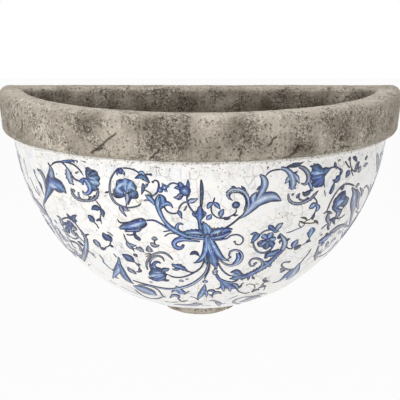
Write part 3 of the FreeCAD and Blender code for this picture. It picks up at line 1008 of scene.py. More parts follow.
RIGHT_TULIP = drawn("""
    line ink 2.3: 213 239, 222 230.6, 231 224.6, 238 219, 242.6 214.6
    jag soft: 240 218.4 2.4, 245.4 213 4.2, 248.4 206 4.4, 248.2 199 4.4, 245 193 4.8, 239 189.6 5, 232 189.8 4.6,
        228 193 4.2, 229 198 2.8, 233 200.6 1
    leaf ink 2.8: 236 188.6, 233.4 187, 230.6 187
    leaf ink 3.2: 246 190.6, 243.4 188.4, 241 185.6
    leaf ink 2.8: 230 191.6, 228 192.4, 225.4 192.4
    line ink 1.5: 232 200.6, 229.6 197.4, 231 193.4, 236 192.4, 241 193.4, 245 197.4, 246 204, 243.6 211
    form soft: 241 218 2, 247 212.4 6, 252.4 206.6 9, 258 201.6 10, 265 198.2 11, 272 196.8 10, 277 198 6,
        281.4 200.8 1
    form pale: 254 205 3, 261 200.6 6, 269 197 6, 276 197.6 3
    line ink 1.7: 243 217.6, 251 212, 257 206.6, 264 202.8, 272 201.2, 281.4 201
    form soft: 257.6 199 5, 262 191.4 7, 264.8 184 7.6, 263.4 178 5.6, 260 174.8 2
    leaf dark 3.4: 259.6 194, 262 189.4, 263.6 184.6
    form mid: 247 212.6 3.4, 251.6 205 4.6, 255 198 5.4
    leaf soft 6.6: 252.6 203, 253.6 197, 257 191.6
    leaf ink 2.4: 256.8 190.6, 258.4 188.4, 259.8 185.6
    line ink 1.5: 214.8 197.4, 213.2 202.6
    form mid: 213.2 202.4 1.6, 210 204.6 5.4, 207.4 208.8 2
    form mid: 213 202.4 1.4, 216.6 204.8 5, 220.4 209.4 1
    line ink 1.5: 211.4 204.6, 211.4 211, 213.6 215, 218 217.8, 225 218.2, 232 215.6, 236 212, 236.2 208
    form mid: 221.2 217.4 2, 221 213.4 5.8, 223.8 209 1.4
    form mid: 206.8 220 2, 209 217.4 5.6, 211.4 214.4 1.6
    leaf ink 3.6: 222.6 217.6, 227 218.8, 231 217.8
    leaf ink 2.6: 232.4 214.8, 235.4 215.4, 238.6 215
    ball dark 7.6: 236 205
    ball pale 2.2: 235 203.8
""")

RIGHT_UPPER = drawn("""
    line ink 1.6: 265.6 176.2, 269 172.4, 274 170.2, 281 169.4
    form soft: 281 168.2 3.6, 286 169.4 4.6, 290.4 173.4 6, 292.6 179 8, 292.8 185 7.4, 292 190 2.4
    line ink 1.4: 289.4 172, 291.4 178, 291.6 186
    leaf soft 4.4: 289 176, 287.4 180.6, 284.8 184
    form soft: 293.4 173.4 2.4, 297 178 5, 299.4 183.6 1
    leaf ink 2.6: 293 172.6, 295.4 173, 298 170.8
    leaf soft 2.6: 290.6 186.6, 288.8 189
    leaf soft 2.6: 293.4 186.6, 296 189
    form ink: 286.6 167 1.2, 291.6 165.8 4.2, 297.6 164.6 5, 301.4 162.6 2.6, 305.6 161 1.6, 311 161.4 1
    leaf ink 3: 292 163.6, 296 162.4, 300 163
    form grey: 299 166.6 3, 304 168.6 4.6, 308 173.4 5.4, 308.6 179 4.6, 305.6 184 3.4, 301 183.6 1.2
    line grey 1.8: 294.6 173.6, 297 178, 297 181
    jag grey: 288.4 193.6 2.4, 289 199.4 3.8, 292.8 203 4.2, 299 203.8 4.2, 306 201.4 4.2, 311.4 198.4 4,
        315 194.4 3.4, 318.6 190.4 1
    form grey: 296.8 198.6 1.6, 297.6 195.6 2.4, 300.4 194 2.2
    form ink: 302.6 192 1.4, 305 194 5, 308.6 192.6 4.4, 311 189.6 1.6
    line grey 2: 299 194.6, 299.4 199, 304 200.4, 309 197
    leaf grey 2.6: 291.4 195.6, 294.6 193.4
    petal deep 10: 325 172, 318 169.4, 312 166.8
    petal mid 10: 325 173, 317.6 172.6, 310.4 173
    petal deep 9.5: 325 174, 317.6 176.6, 310.6 178.6
    petal deep 10: 325 174, 318 181, 312.4 186
    petal deep 8.5: 325 174, 321.4 180.6, 317.6 187.4
    leaf pale 4: 322 173, 316 173.8, 311 174.2
    leaf pale 2.6: 322.6 176, 318.6 177.4, 314 178.6
    leaf pale 2.6: 321.6 178.4, 318.4 181, 315.4 183.6
    form mid: 307.6 175 3, 309 181 4.4, 311.4 187 3.6, 312.6 191 2.6
    leaf ink 3: 313.4 168, 312 166.4, 309.6 166.4
    leaf ink 2.6: 315 167, 314.4 165, 314 162.8
    form deep: 323 173 8, 326 171 7, 329 169.4 3.6, 331.4 167.6 1.2
    line ink 1.8: 329.6 168.4, 334.6 167, 338.6 168, 341 171.4, 340.4 175
    form deep: 335 162 1.2, 335.4 165 3.4, 336.8 168.4 2
    form deep: 340 168.2 1.4, 341.4 171.6 3.6, 340.2 175.4 1.6
    form deep: 340 175 1.8, 338.2 178.2 5.6, 335.4 180.6 4.4, 332.6 180.2 1.2
    form deep: 334.4 182.6 1.2, 333 187 3.4, 331.6 191 3.6, 329.8 194 2.6
    form deep: 349.8 170 1.4, 348.2 173.2 5, 345.8 178 1
    line ink 1.6: 350 157.6, 350.4 163, 351.6 168, 354 171.2, 357 171.6
    line ink 1.4: 351 169.4, 353.4 176
    form ink: 359.6 161.4 1.2, 357.6 165.4 4.4, 355.6 170 3, 354.6 172 1.4
    form grey: 361 166 1.4, 359.6 169.4 4.6, 358 172.4 2
    leaf ink 4.4: 352.6 157, 355.6 158.6, 357.6 162
    leaf ink 3: 349.6 156.6, 350.2 161.6
    leaf ink 3.6: 366.6 155.4, 366.4 160.4
    leaf grey 3.4: 363.4 166, 368.4 163.2
    form grey: 377 154 2, 378 162 5, 377.4 171 2.4
    line grey 2.6: 379 168, 377 177, 373.6 186
    line ink 1.3: 322.6 178.6, 324 183, 324.6 187.4
""")

RIGHT_RING = drawn("""
    line ink 2: 326.4 213, 329 206, 332 199.4, 336 193, 340 188, 344.4 184.6, 349.4 184, 355 186
    ball ink 6: 342.6 187.6
    ball pale 1.8: 342.4 187
    form deep: 333.6 209 4, 337 204.6 9, 341.6 199 11, 346 195 7
    petal deep 8: 337.6 207.6, 337.6 201.4, 339.6 195.4
    petal deep 8.8: 338.6 207, 341.4 200, 346 193.4
    petal deep 8: 339.6 206.6, 344.4 202.4, 348.6 197.4
    petal deep 7.6: 339 206, 335.6 207, 332.6 210.4
    form dark: 334 208 4, 337 210.4 5, 341 210.4 3
    leaf pale 4.4: 336 206.6, 339.6 202.4, 344 200
    ball pale 3.4: 339.4 207
    line ink 1.7: 349 197.6, 347 203.4, 342.4 209, 340 214.4, 336 219
    form soft: 337.4 210.4 2.6, 337.6 214.4 4, 335 219 1
    leaf ink 4.4: 329.6 219.8, 333.6 219.4, 338 217.8
    leaf ink 3.6: 332.4 219.6, 334 222, 334.8 224.6
    line ink 1.5: 337 219, 341.4 217.4, 345 214.4
    line ink 1.8: 323.4 214, 328 210.4
    leaf ink 3.6: 327 211.6, 332.4 213.8
    form grey: 328.2 213.4 2, 327.6 219 4.8, 329.4 223.4 3.8, 328 228.6 2
    ball ink 3.2: 328.6 229.2
    line grey 1.6: 327 224, 321.4 229.2
    form grey: 352 187.6 2, 354.6 193 6, 354 201 7.6, 353.8 208 6, 352 215 3.4, 349.8 225 2.4
    leaf pale 3.4: 354 192, 354.4 199, 353.6 206
    leaf grey 3.6: 355.4 186.6, 360 184
    form grey: 357 189 1.6, 358.8 196 3.8, 357.6 203 4, 358.4 209 1.6
    form grey: 360 187.6 1.4, 362.4 192.4 3.6, 361 197 1.4
    line grey 2.4: 363.6 188.6, 367 186, 369 191, 366.4 199
    line wash 3: 371 184, 369 196, 363 209
    curl grey 2: 356 211, 359 213.4, 361.4 210
    form mid: 309 208.6 1.4, 312.8 205.8 5.6, 317.4 203.2 1.4
    form mid: 315.4 203.6 1.4, 318 207.4 5, 316.6 211.6 1.4
    line ink 1.5: 313 196.6, 316.2 200, 317.6 204
    form ink: 316.4 210 1.5, 314.4 213.6 1.5, 313.2 216.8 3.6, 312.4 220 1.2
""")

RIGHT_LOWER = drawn("""
    form mid: 311.4 228 2.6, 311.4 231 7.6, 310.4 234.8 5, 309.6 238.4 1
    line ink 1.4: 309.6 237.6, 308.8 241, 305.4 243.2, 302 245.6
    leaf ink 3.6: 305.6 243.2, 308 241.4, 311 241.4
    form mid: 293 248 2, 294.6 244 6, 298 239.4 1.4
    form ink: 294 249 2, 297.4 247.4 4.4, 301.4 245.4 2
    line ink 1.5: 285.6 245.6, 288.6 248.6, 293 248.8
    form grey: 329.6 232.4 1.4, 335 229.8 5.6, 340 226.8 4, 345 225.2 2.6, 349.6 227 2.4
    form mid: 318.4 244 2, 322 241 6, 327 237.6 6, 331.4 234 1.6
    leaf pale 3.2: 321 242, 326 238.6, 332 235.4
    line ink 2: 318.4 241.4, 323.6 237.4, 329.6 233.8
    ball ink 3: 321.6 234.8
    leaf ink 2.6: 325 235.4, 328.6 233
    leaf mid 3.4: 323.4 242.6, 321.6 246.4
    leaf mid 3.6: 327.4 241.6, 327 245.6, 324.4 248.6
    form grey: 319 245.6 1.6, 317.4 250 2, 316.4 255 4, 315.4 260 1.6
    leaf grey 4: 316.4 254, 321 253.8
    line grey 2: 317.6 257.4, 324 254.6, 329.4 250.4, 334 245.4, 338 240
    line wash 3: 352.4 222, 349 231, 343.6 240, 336 248, 326 256.4
    line wash 2: 343 232, 340 240, 333 246
    line ink 1.9: 311.4 248.6, 308 254, 303 260, 298.6 265.6, 296 270
    form soft: 299.6 263 1.6, 296.4 268.6 5.4, 293 273.6 9, 289.6 277.4 6.6, 286 280 1.4
    form dark: 293 269.4 3.6, 288 274 5.6, 283 278.4 3.8, 278 281.6 2.2, 272.6 283 0.9
    curl grey 2.8: 296 268.4, 290 269.8, 284.6 268.6, 281.6 265.4, 284 262.6, 289.4 262
    leaf grey 3.6: 283.4 269.6, 280 268.6
    leaf grey 3: 285 271, 279.4 272
    leaf pale 2.6: 296 268, 293 273, 290 276.4
    ball ink 3: 265.4 278.2
    leaf ink 3.4: 262.6 279.4, 266 281.6, 270 281.4
    line ink 1.4: 266 279, 264.6 282.4, 261 285.6
    form ink: 258.8 288.6 1.6, 262 286.8 3.6, 266.4 286.4 1
    leaf ink 3.6: 252 292.6, 255.4 290.2, 259.4 290
    line wash 1.8: 258.6 293.4, 266.6 294
    form grey: 238.4 302.4 1.2, 246 300.6 11, 253 298.6 11, 261 296.6 1
    line grey 3: 240 304.4, 233.6 302.6, 236.6 299.6, 243 297.6, 250.6 296.6, 262 294.8
    line wash 2: 229 299.4, 238 295.6
    line wash 1.8: 271 294, 280 290.6, 289 286
""")

ROSETTE_RING = drawn("""
    line grey 1.9: 259 235.4, 264 231.6, 269 230, 275 230
    form grey: 253.4 240 1.4, 254 246.6 2.2, 257.6 251.4 2.3, 262.4 253 2.2, 267.4 251.8 2, 271.4 248.8 1.8,
        273.6 245.6 1.2
    form dark: 259 233.6 3.6, 257 235.8 5.8, 254 239.8 4.8, 251.2 243.6 1.2
    leaf dark 3.8: 258.6 234.4, 254.4 233.6, 250 234.8
    form dark: 269 225 2, 270.8 227.4 5.4, 274.4 230 4
    form soft: 283.4 222.8 0.9, 279.4 226 5, 276.4 230 3.6
    leaf dark 4.2: 272.4 230, 276 231.4, 279.4 231.4
    petal mid 6.4: 268 240, 265.4 237.4, 262 234.6
    petal mid 6.4: 268 240, 269.6 236.6, 272.4 232.4
    petal mid 6: 268 240, 272 239.4, 276 239.6
    petal deep 7.4: 268 240, 270.6 243, 273.4 247
    petal deep 7.4: 268 240, 267 244.6, 266.2 249.8
    petal deep 8.4: 268 240, 263.6 242.6, 258.6 247
    leaf pale 2.8: 266.4 241.4, 263.4 243.2, 260.6 245.4
    ball dark 6: 268 240
    form soft: 280 233.4 1.6, 282.6 237.6 4.4, 284.8 241.4 6, 284.4 246 5.4, 281.6 250.6 4.4, 277 255 4
    leaf ink 3.2: 281 237.6, 278.6 238, 280 233.4
    leaf ink 2.8: 285.6 240.4, 288 239.8, 290.6 238.4
    leaf ink 2.8: 282.4 240.6, 280 241.6, 280 244
    jag dark: 281.6 249.6 4, 276.6 255.4 5, 271 261 5.8, 265.6 265.4 6.8, 259.6 269.4 6.6, 252 273.6 6.4,
        245 276.6 6.8, 238.6 276.8 5.4, 231.6 275.8 2
    leaf mid 3.6: 268 263.6, 261 268.6, 253 272.4
    leaf pale 2.4: 258 270.4, 252 272.8, 247 275
    form dark: 265.4 258.2 2.4, 268.4 255 6, 273.6 253.2 5.4, 279.4 250 3.4
    ball ink 4: 266.2 257.6
    leaf mid 2.8: 269 255, 274 253.4, 278 251.6
    form dark: 264 261.6 3.4, 266.6 263.6 6, 270.6 266 2.4
    ball soft 3.6: 270 266.2
    leaf ink 3: 249 277, 248 280.6
    leaf ink 3.2: 252 276.6, 254.6 279.6
    leaf ink 3.6: 242 277.6, 242.4 280.6
    curl grey 3.4: 258.6 270.6, 262 266, 262.2 261.6, 258 258.8, 252.4 259.2, 249.6 262.6, 250.8 266, 253.8 266,
        255.2 263.6
    form dark: 240.6 275 5, 236.4 271.8 5.4, 230.4 272.6 1
    form dark: 240.6 276.6 5, 235.6 278 5, 229.4 279 1
    leaf pale 2.4: 239 276, 235 275, 231 276
""")

FRONT = [
    CENTRE, LEFT_TULIP, POPPY, SIDE_TULIP, DIAMOND_SPRIG, LOWER_BELL, CURLED_CARNATION, LEFT_CARNATION,
    MID_LEAVES, BELL, LEFT_RING, RIGHT_TULIP, RIGHT_UPPER, RIGHT_RING, RIGHT_LOWER, ROSETTE_RING,
]

# Groups that are painted again further round on both sides, with the middle of each in the view's frame.
AGAIN = {
    "carnation": (LEFT_CARNATION, (85, 184)),
    "poppy": (POPPY, (125, 190)),
    "bud": (SIDE_TULIP, (132, 226)),
    "sprig": (DIAMOND_SPRIG, (138, 254)),
    "curled": (CURLED_CARNATION, (162, 268)),
    "ring": (ROSETTE_RING, (264, 250)),
    "tulip": (RIGHT_TULIP, (246, 202)),
    "leaves": (MID_LEAVES, (104, 241)),
    "bell": (LOWER_BELL[:5], (120, 270)),
    "drop": (RIGHT_LOWER[:6], (302, 240)),
    "blossom": (RIGHT_UPPER[17:33], (322, 177)),
}

# Where they are painted: the group, its azimuth from the front and its height in millimetres, how far it is
# turned, whether it is mirrored, and its scale.
ROUND_THE_SIDES = [
    ("poppy", 82, -12, 10, True, 0.95),
    ("carnation", 79, -50, 8, True, 0.9),
    ("leaves", 62, -84, 30, False, 0.8),
    ("curled", 77, -86, 14, False, 0.85),
    ("sprig", 76, -112, 10, True, 0.9),
    ("drop", 57, -116, 10, False, 0.9),
    ("bell", 74, -134, 0, True, 0.8),
    ("poppy", -83, -14, -12, False, 0.95),
    ("blossom", -78, -48, 0, False, 0.95),
    ("leaves", -64, -78, -20, True, 0.8),
    ("curled", -75, -86, -14, True, 0.85),
    ("sprig", -60, -110, 20, False, 0.9),
    ("bell", -78, -116, 0, False, 0.85),
    ("leaves", -60, -136, -20, True, 0.8),
]

# Stains and breaks in the glaze, and its pits with their widths, in the view's frame.
GLAZE_BREAKS = drawn("""
    line ink 1: 286 233, 291 231.8, 296 229.6, 300 228, 303.4 226, 305 223.4
    leaf ink 2: 305.4 224, 302.4 222.4, 298.6 220.8
    leaf ink 2.2: 307.6 220, 304.6 218, 300 217.6
    line ink 1.1: 304 223, 306.4 220.6, 309.4 219.8, 312 217
    line dark 1.3: 304.6 223, 310 223.4, 315.6 222.6
    leaf ink 2.6: 313.6 220.4, 316.8 222, 318.4 224.6
    line dark 1: 300 222, 299 225, 301.6 228
    line ink 1.5: 80 160.2, 83 161, 86 162.4
    line ink 1.5: 345.4 161, 347.6 165, 350 168
    line mid 1.6: 338 161, 341 159.6
    line mid 1.2: 144.6 254.6, 149 253.4, 152 255
    line mid 1.2: 146 257, 150.4 254
    line dark 1: 246 286.4, 249 284, 254 285, 259 283.6
    line mid 1: 254 284.6, 255 288, 252.6 290
    line mid 1: 262 283.4, 265 287, 263.6 290.6
    line dark 1: 325.6 196.6, 324.4 190
""")
PITS_IN_GLAZE = [
    (156.6, 167.2, 2.0), (158, 167.8, 1.4), (162, 169.6, 1.4), (170, 168.4, 1.3), (169.6, 170.4, 1.3),
    (191.6, 168, 2.0), (193.4, 168.4, 1.6), (205.6, 167.4, 1.4), (208, 167.6, 1.5), (222.4, 181.6, 1.5),
    (218.2, 187, 1.6),
    (268, 167.4, 2.4), (267.4, 169, 1.5), (276, 164, 1.8), (271, 176.2, 1.2), (213.6, 170.4, 1.2), (217, 170.6, 1.1),
    (236, 164.2, 1.2), (222.6, 169.6, 1.1), (76.4, 172.8, 3.0), (78, 172, 2.0), (56.4, 174, 1.5), (111.6, 165.6, 1.3),
    (97.6, 165, 1.4), (150.6, 168.6, 1.2), (282.4, 217.4, 1.5), (279.6, 214, 1.3), (292, 213, 1.2), (228.6, 248.6, 1.2),
    (196, 172, 1.0), (286, 163, 1.6), (243, 166.6, 1.1), (257, 166.2, 1.4), (147, 172, 1.2), (134, 168.6, 1.1),
    (105, 196, 1.6), (71, 204, 1.2), (64, 209, 1.0), (178, 255, 1.0), (147.6, 242, 1.0), (96.4, 230.4, 1.3),
]

# The rim's inside, where it is darker, and how its marks are made.
RIM_INNER_RADIUS = 171.5 * MM
RIM_BACK_Y = -14 * MM
RIM_EDGE = 1.5  # millimetres of the inside below the top that are not darkened
RIM_SEED = 11
CRACK_STEPS = 14

# The fillet inside the pot: how far it reaches to each side, and its section as Y and Z in millimetres.
FILLET_REACH = 166.5 * MM
FILLET_SECTION = [(-21.4, 49), (-14.4, 49), (-14.4, 27), (-15.2, 27), (-21.4, 42)]

# Marks in the rim, in the view's frame: cracks with their half width and depth in millimetres, pits with their
# radius, and cloudy patches with their radius and how much darker they are.
RIM_CRACKS = [
    (1.1, 1.0, (90.4, 153.6), (93, 151.4), (96, 149.6), (98.6, 147), (102.4, 144.6), (105, 141.6), (109, 138.6),
     (112, 136.4), (115.4, 133.6)),
    (1.2, 0.7, (95.6, 150), (99, 149.6), (101.4, 148)),
    (1.1, 0.8, (150.6, 158.4), (153, 156.4), (154.6, 154), (157, 152.4), (159, 149.8)),
    (1.2, 0.9, (297.8, 147.4), (296, 150), (295.4, 152.8), (292, 154.8), (290, 157), (286, 158), (282, 159.4)),
    (1.1, 0.6, (297, 148), (301, 146), (304, 146.6)),
    (1.0, 0.5, (268, 146), (272, 143), (273, 139.6), (277, 137)),
    (1.0, 0.5, (240, 156), (241.4, 152), (239.6, 149)),
    (1.0, 0.5, (341, 148), (346, 146.4), (350, 147.4)),
    (1.0, 0.5, (20, 131), (22, 126), (21, 121)),
]
RIM_PITS = [
    (162.5, 117, 2.6), (160, 119, 1.6), (143.4, 128.6, 1.8), (171.4, 126.7, 1.6), (179, 131, 1.8), (188, 125.4, 1.6),
    (200.8, 119.6, 1.5), (225.6, 134.3, 1.6), (220, 147.7, 1.5), (233.3, 141.3, 1.8), (41, 110.4, 1.4),
    (44, 109.8, 1.2), (46.4, 110.6, 1.3), (276, 149, 1.8), (311, 148, 1.9), (313, 146.6, 1.3), (392, 105, 1.6),
    (11.5, 100, 1.3),
    (181, 113, 1.4), (187, 120, 1.5), (176, 119, 1.3), (62, 128, 1.4), (53, 137, 1.3), (24, 113, 1.4), (306, 151, 1.6),
    (245, 141, 1.4), (264, 139.6, 1.5), (152, 137, 1.4), (133, 124, 1.3), (362, 121, 1.3), (371, 109, 1.4),
    (336, 137, 1.3),
]
RIM_CLOUDS = [
    (150, 122, 13, 0.30), (164, 134, 14, 0.26), (183, 143, 13, 0.24), (186, 120, 9, 0.12), (152, 148, 12, 0.16),
    (84, 124, 11, 0.26), (96, 116, 9, 0.16), (72, 142, 9, 0.08), (240, 121, 12, 0.26), (233, 142, 13, 0.24),
    (250, 136, 10, 0.12), (262, 148, 10, 0.18), (296, 150, 12, 0.30), (311, 148, 10, 0.22), (345, 130, 14, 0.28),
    (329, 116, 10, 0.14), (372, 124, 10, 0.22), (392, 122, 8, 0.18), (7, 126, 8, 0.26), (20, 138, 9, 0.14),
    (212, 152, 12, 0.10), (118, 152, 12, -0.10), (112, 130, 14, -0.18), (207, 126, 14, -0.16), (196, 150, 9, -0.04),
    (281, 128, 13, -0.16), (265, 118, 12, -0.06), (40, 128, 17, -0.28), (56, 150, 12, -0.22), (322, 142, 10, -0.08),
    (360, 144, 10, -0.10), (130, 143, 8, -0.08),
]


class PlanterOperator:
    """What the operators share."""

    bl_options = {"REGISTER"}


def ink_material():
    ink = bpy.context.scene.planter_ink
    glaze = bpy.context.scene.planter_glaze
    recipe = new_recipe("Blue underglaze brushwork")
    shade = recipe.attribute("shade")
    blotches = recipe.noise(5 * MM, 4, 0.6) - 0.5
    pooled = shade + blotches * 0.42
    blue = recipe.ramp(pooled, [(0.0, ink.pale), (0.38, ink.middle), (0.74, ink.strong), (0.96, ink.dark)])
    grey = recipe.ramp(pooled, [(0.0, ink.grey_pale), (0.45, ink.grey_middle), (1.0, ink.dark)])
    greyer = (recipe.attribute("grey") + (recipe.noise(30 * MM, 3) - 0.5) * 0.9).between(0.0, 1.0)
    mixed = recipe.mix(greyer, blue, grey)
    tint = recipe.noise(8 * MM, 3, twist=0.3) - 0.5
    depth = recipe.noise(4.5 * MM, 3, twist=0.2) - 0.5
    change = {"Hue": tint * 0.14 + 0.492, "Saturation": 0.94 + tint * 0.5, "Value": 1.04 + depth * 0.9}
    mixed = recipe.add("ShaderNodeHueSaturation", inputs={"Color": mixed, **change})
    worn = recipe.noise(1.7 * MM, 3, 0.7).between(0.60, 0.70) * recipe.noise(22 * MM, 2).between(0.42, 0.62)
    faded = recipe.mix(worn * 0.75, mixed, glaze.white)
    cracks = crackle_lines(recipe)
    stained = recipe.mix(cracks * 0.30, faded, glaze.line)
    relief = crackle_relief(recipe, cracks)
    return recipe.finish(base_color=stained, roughness=0.26, normal=relief)


def crackle_lines(recipe):
    """Fine crack lines of two sizes, 1 on a line, fading in and out over the pot."""
    size = bpy.context.scene.planter_glaze.crackle
    place = recipe.wavering(9 * MM, 5 * MM)
    wide = recipe.cells(size, place=place).between(0.030, 0.010)
    fine = recipe.cells(size * 0.42, place=place).between(0.045, 0.012)
    presence = recipe.noise(34 * MM, 3).between(0.42, 0.60)
    fine_presence = recipe.noise(23 * MM, 3, twist=0.4).between(0.48, 0.62)
    return (wide * presence).larger(fine * fine_presence * 0.7)


def crackle_relief(recipe, cracks):
    swells = recipe.noise(5 * MM, 2)
    return recipe.bump((1 - cracks) * 0.25 + swells * 0.5, 0.12 * MM, 0.6)


def glaze_material():
    glaze = bpy.context.scene.planter_glaze
    recipe = new_recipe("White crackled glaze")
    warm = recipe.noise(17 * MM, 4).between(0.50, 0.70)
    cool = recipe.noise(21 * MM, 4, twist=0.5).between(0.52, 0.70)
    rosy = recipe.noise(13 * MM, 3, twist=0.2).between(0.56, 0.74)
    body = recipe.mix(warm * 0.7, glaze.white, glaze.warm)
    body = recipe.mix(cool * 0.7, body, glaze.cool)
    body = recipe.mix(rosy * 0.5, body, glaze.rosy)
    mottled = recipe.noise(4.4 * MM, 3, 0.6, twist=0.4).between(0.48, 0.66)
    body = recipe.mix(mottled * 0.55, body, glaze.cool)
    smoke = recipe.noise(11 * MM, 5, 0.68, twist=0.35).between(0.50, 0.72)
    body = recipe.mix(smoke * 0.75, body, glaze.smoky)
    cracks = crackle_lines(recipe)
    body = recipe.mix(cracks * 0.62, body, glaze.line)
    height = recipe.add("ShaderNodeSeparateXYZ", inputs={"Vector": recipe.place}, out="Z")
    under_rim = height.between(-6 * MM, 10 * MM)
    specks = recipe.specks(4.0 * MM, 0.13, 0.07) * recipe.noise(10 * MM, 3).between(0.56, 0.62)
    rim_specks = recipe.specks(2.6 * MM, 0.32, 0.16) * recipe.noise(6 * MM, 3).between(0.50, 0.57) * under_rim
    # Painted shade: grey mottles that thicken towards the rim's underside.
    painted_rim_shade = under_rim * recipe.noise(8 * MM, 4, 0.65, twist=0.3).between(0.42, 0.66)
    body = recipe.mix(specks * 0.5, body, glaze.line)
    body = recipe.mix(painted_rim_shade * 0.5, body, glaze.smoky)
    body = recipe.mix(rim_specks * 0.85, body, glaze.pit)
    # A plain white band on the bead: partly the thick glaze's own white, partly painted light lifting the shade under
    # the rim.
    ledge = height.between(11.0 * MM, 12.6 * MM)
    body = recipe.mix(ledge, body, glaze.white)
    body = recipe.mix(ledge * recipe.noise(2.4 * MM, 4, 0.7).between(0.54, 0.64) * 0.9, body, glaze.pit)
    relief = crackle_relief(recipe, cracks)
    roughness = recipe.noise(20 * MM, 3) * 0.14 + 0.16
    return recipe.finish(base_color=body, roughness=roughness, normal=relief)


def dirt_material():
    glaze = bpy.context.scene.planter_glaze
    recipe = new_recipe("Dirt in the glaze")
    shade = recipe.attribute("shade") + (recipe.noise(2 * MM, 4, 0.7) - 0.5) * 1.1
    body = recipe.ramp(shade, [(0.0, glaze.line), (0.6, glaze.pit), (1.0, glaze.soot)])
    return recipe.finish(base_color=body, roughness=0.7, normal=recipe.bump(shade, 0.2 * MM))


class OBJECT_OT_planter_glaze(PlanterOperator, bpy.types.Operator):
    """Build the white glaze coat on the bowl"""

    bl_idname = "object.planter_glaze"
    bl_label = "Glaze Coat"

    def execute(self, context):
        columns, near_rows, far_rows, inner_rows = 320, 26, 118, 24
        outer_rows = near_rows + far_rows
        azimuths = np.linspace(0, math.pi, columns)
        top_z = SKIRT_Z - 0.1 * MM
        bead_share = 13 * MM  # the part of the section with closer rows
        top_tilt = math.asin((EQUATOR_Z - top_z) / SIDE_ROUND)
        join_tilt = math.atan2(EQUATOR_Z - BASE_Z, -SIDE_RING)
        end_tilt = math.acos(FOOT_RADIUS / BASE_ROUND)
        side_share = SIDE_ROUND * (join_tilt - top_tilt)
        base_share = BASE_ROUND * (end_tilt - join_tilt)
        edge = np.stack([azimuths * FOOT_RADIUS, azimuths * 0, azimuths * 0], axis=1)
        wobble = 1.6 * MM * (0.5 + 0.5 * perlin(edge, 9 * MM))

        def section(run, inset):
            on_side = run < side_share
            tilt = np.where(on_side, top_tilt + run / SIDE_ROUND, join_tilt + (run - side_share) / BASE_ROUND)
            reach = np.where(on_side, SIDE_ROUND, BASE_ROUND) - inset
            radius = np.where(on_side, SIDE_RING, 0) + reach * np.cos(tilt)
            return radius, np.where(on_side, EQUATOR_Z, BASE_Z) - reach * np.sin(tilt)

        near = np.linspace(0, bead_share, near_rows, endpoint=False)
        loops = []
        for azimuth, shorten in zip(azimuths, wobble):
            whole = side_share + base_share - shorten
            outer_radius, outer_z = section(np.concatenate([near, np.linspace(bead_share, whole, far_rows)]), 0)
            inner_radius, inner_z = section(np.linspace(0, whole, inner_rows), GLAZE_THICKNESS)
            radius = np.concatenate([outer_radius, inner_radius[::-1]])
            z = np.concatenate([outer_z, inner_z[::-1]])
            loops.append(np.stack([radius * -math.cos(azimuth), radius * -math.sin(azimuth), z], axis=1))
        points = np.stack(loops)
        outside = points[:, :outer_rows].reshape(-1, 3)
        points[:, :outer_rows] = (on_glaze(outside) + self.bead(outside)).reshape(columns, outer_rows, 3)
        points[:, outer_rows - 1] += (points[:, outer_rows] - points[:, outer_rows - 1]) * 0.45
        wide = outer_rows + inner_rows
        faces = []
        for i in range(columns - 1):
            for j in range(wide):
                a, b = i * wide + j, i * wide + (j + 1) % wide
                faces.append((a, b, b + wide, a + wide))
        faces.append(tuple(range(wide - 1, -1, -1)))
        faces.append(tuple(range((columns - 1) * wide, columns * wide)))
        points = points.reshape(-1, 3)
        points[:, 1] = np.minimum(points[:, 1], 0)
        points[:, 2] = np.minimum(points[:, 2], top_z)
        mesh = bpy.data.meshes.new("glaze")
        mesh.from_pydata(points, [], faces)
        make_normals_outward(mesh)
        mesh.shade_smooth()
        piece = new_piece("glaze", mesh, glaze_material())
        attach(piece, "root")
        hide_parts("glaze_coat")
        return {"FINISHED"}

    def bead(self, points):
        """How the glaze swells to an uneven roll just under the rim."""
        depth = (points[:, 2] - BEAD_Z) / BEAD_HALF
        swell = np.exp(-(depth**2)) * (1.1 + 0.5 * perlin(points, 9 * MM, 1.3) + 0.4 * perlin(points, 3 * MM, 4.4))
        _, outward = nearest_on_oval(points)
        return outward * np.clip(swell, 0, 2)[:, None] * MM


def make_normals_outward(mesh):
    shape = bmesh.new()
    shape.from_mesh(mesh)
    bmesh.ops.recalc_face_normals(shape, faces=shape.faces)
    shape.to_mesh(mesh)
    shape.free()


class OBJECT_OT_planter_front(PlanterOperator, bpy.types.Operator):
    """Paint the blue ornament on the front of the bowl"""

    bl_idname = "object.planter_front"
    bl_label = "Front Ornament"

    def execute(self, context):
        ink = context.scene.planter_ink
        brush = Brush(ink.height, ink.outline)
        for group in FRONT:
            brush.draw(group)
        piece = brush.make("ornament_front", ink_material())
        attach(piece, "root")
        return {"FINISHED"}


class OBJECT_OT_planter_sides(PlanterOperator, bpy.types.Operator):
    """Paint the blue ornament on the sides of the bowl"""

    bl_idname = "object.planter_sides"
    bl_label = "Side Ornament"

    def execute(self, context):
        ink = context.scene.planter_ink
        brush = Brush(ink.height, ink.outline)
        for name, azimuth, z, turn, mirror, scale in ROUND_THE_SIDES:
            group, middle = AGAIN[name]
            brush.draw(group, Place(azimuth, z, turn, mirror, scale), middle)
        piece = brush.make("ornament_sides", ink_material())
        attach(piece, "root")
        return {"FINISHED"}


class OBJECT_OT_planter_breaks(PlanterOperator, bpy.types.Operator):
    """Put dirt into the glaze's pits and breaks"""

    bl_idname = "object.planter_breaks"
    bl_label = "Glaze Breaks"

    def execute(self, context):
        brush = Brush(context.scene.planter_ink.height * 2.4, 0.3 * MM)
        brush.draw(GLAZE_BREAKS)
        for x, y, size in PITS_IN_GLAZE:
            turn = math.radians(37 * x + 71 * y)  # each pit lies its own way
            reach = np.array([math.cos(turn), 0.6 * math.sin(turn)]) * size * 0.55
            brush.draw([("leaf", "mid", size * 0.8, (x, y) - reach, (x, y), (x, y) + reach)])
        piece = brush.make("glaze_breaks", dirt_material())
        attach(piece, "root")
        return {"FINISHED"}


# ---- clay ---------------------------------------------------------------------------------------------


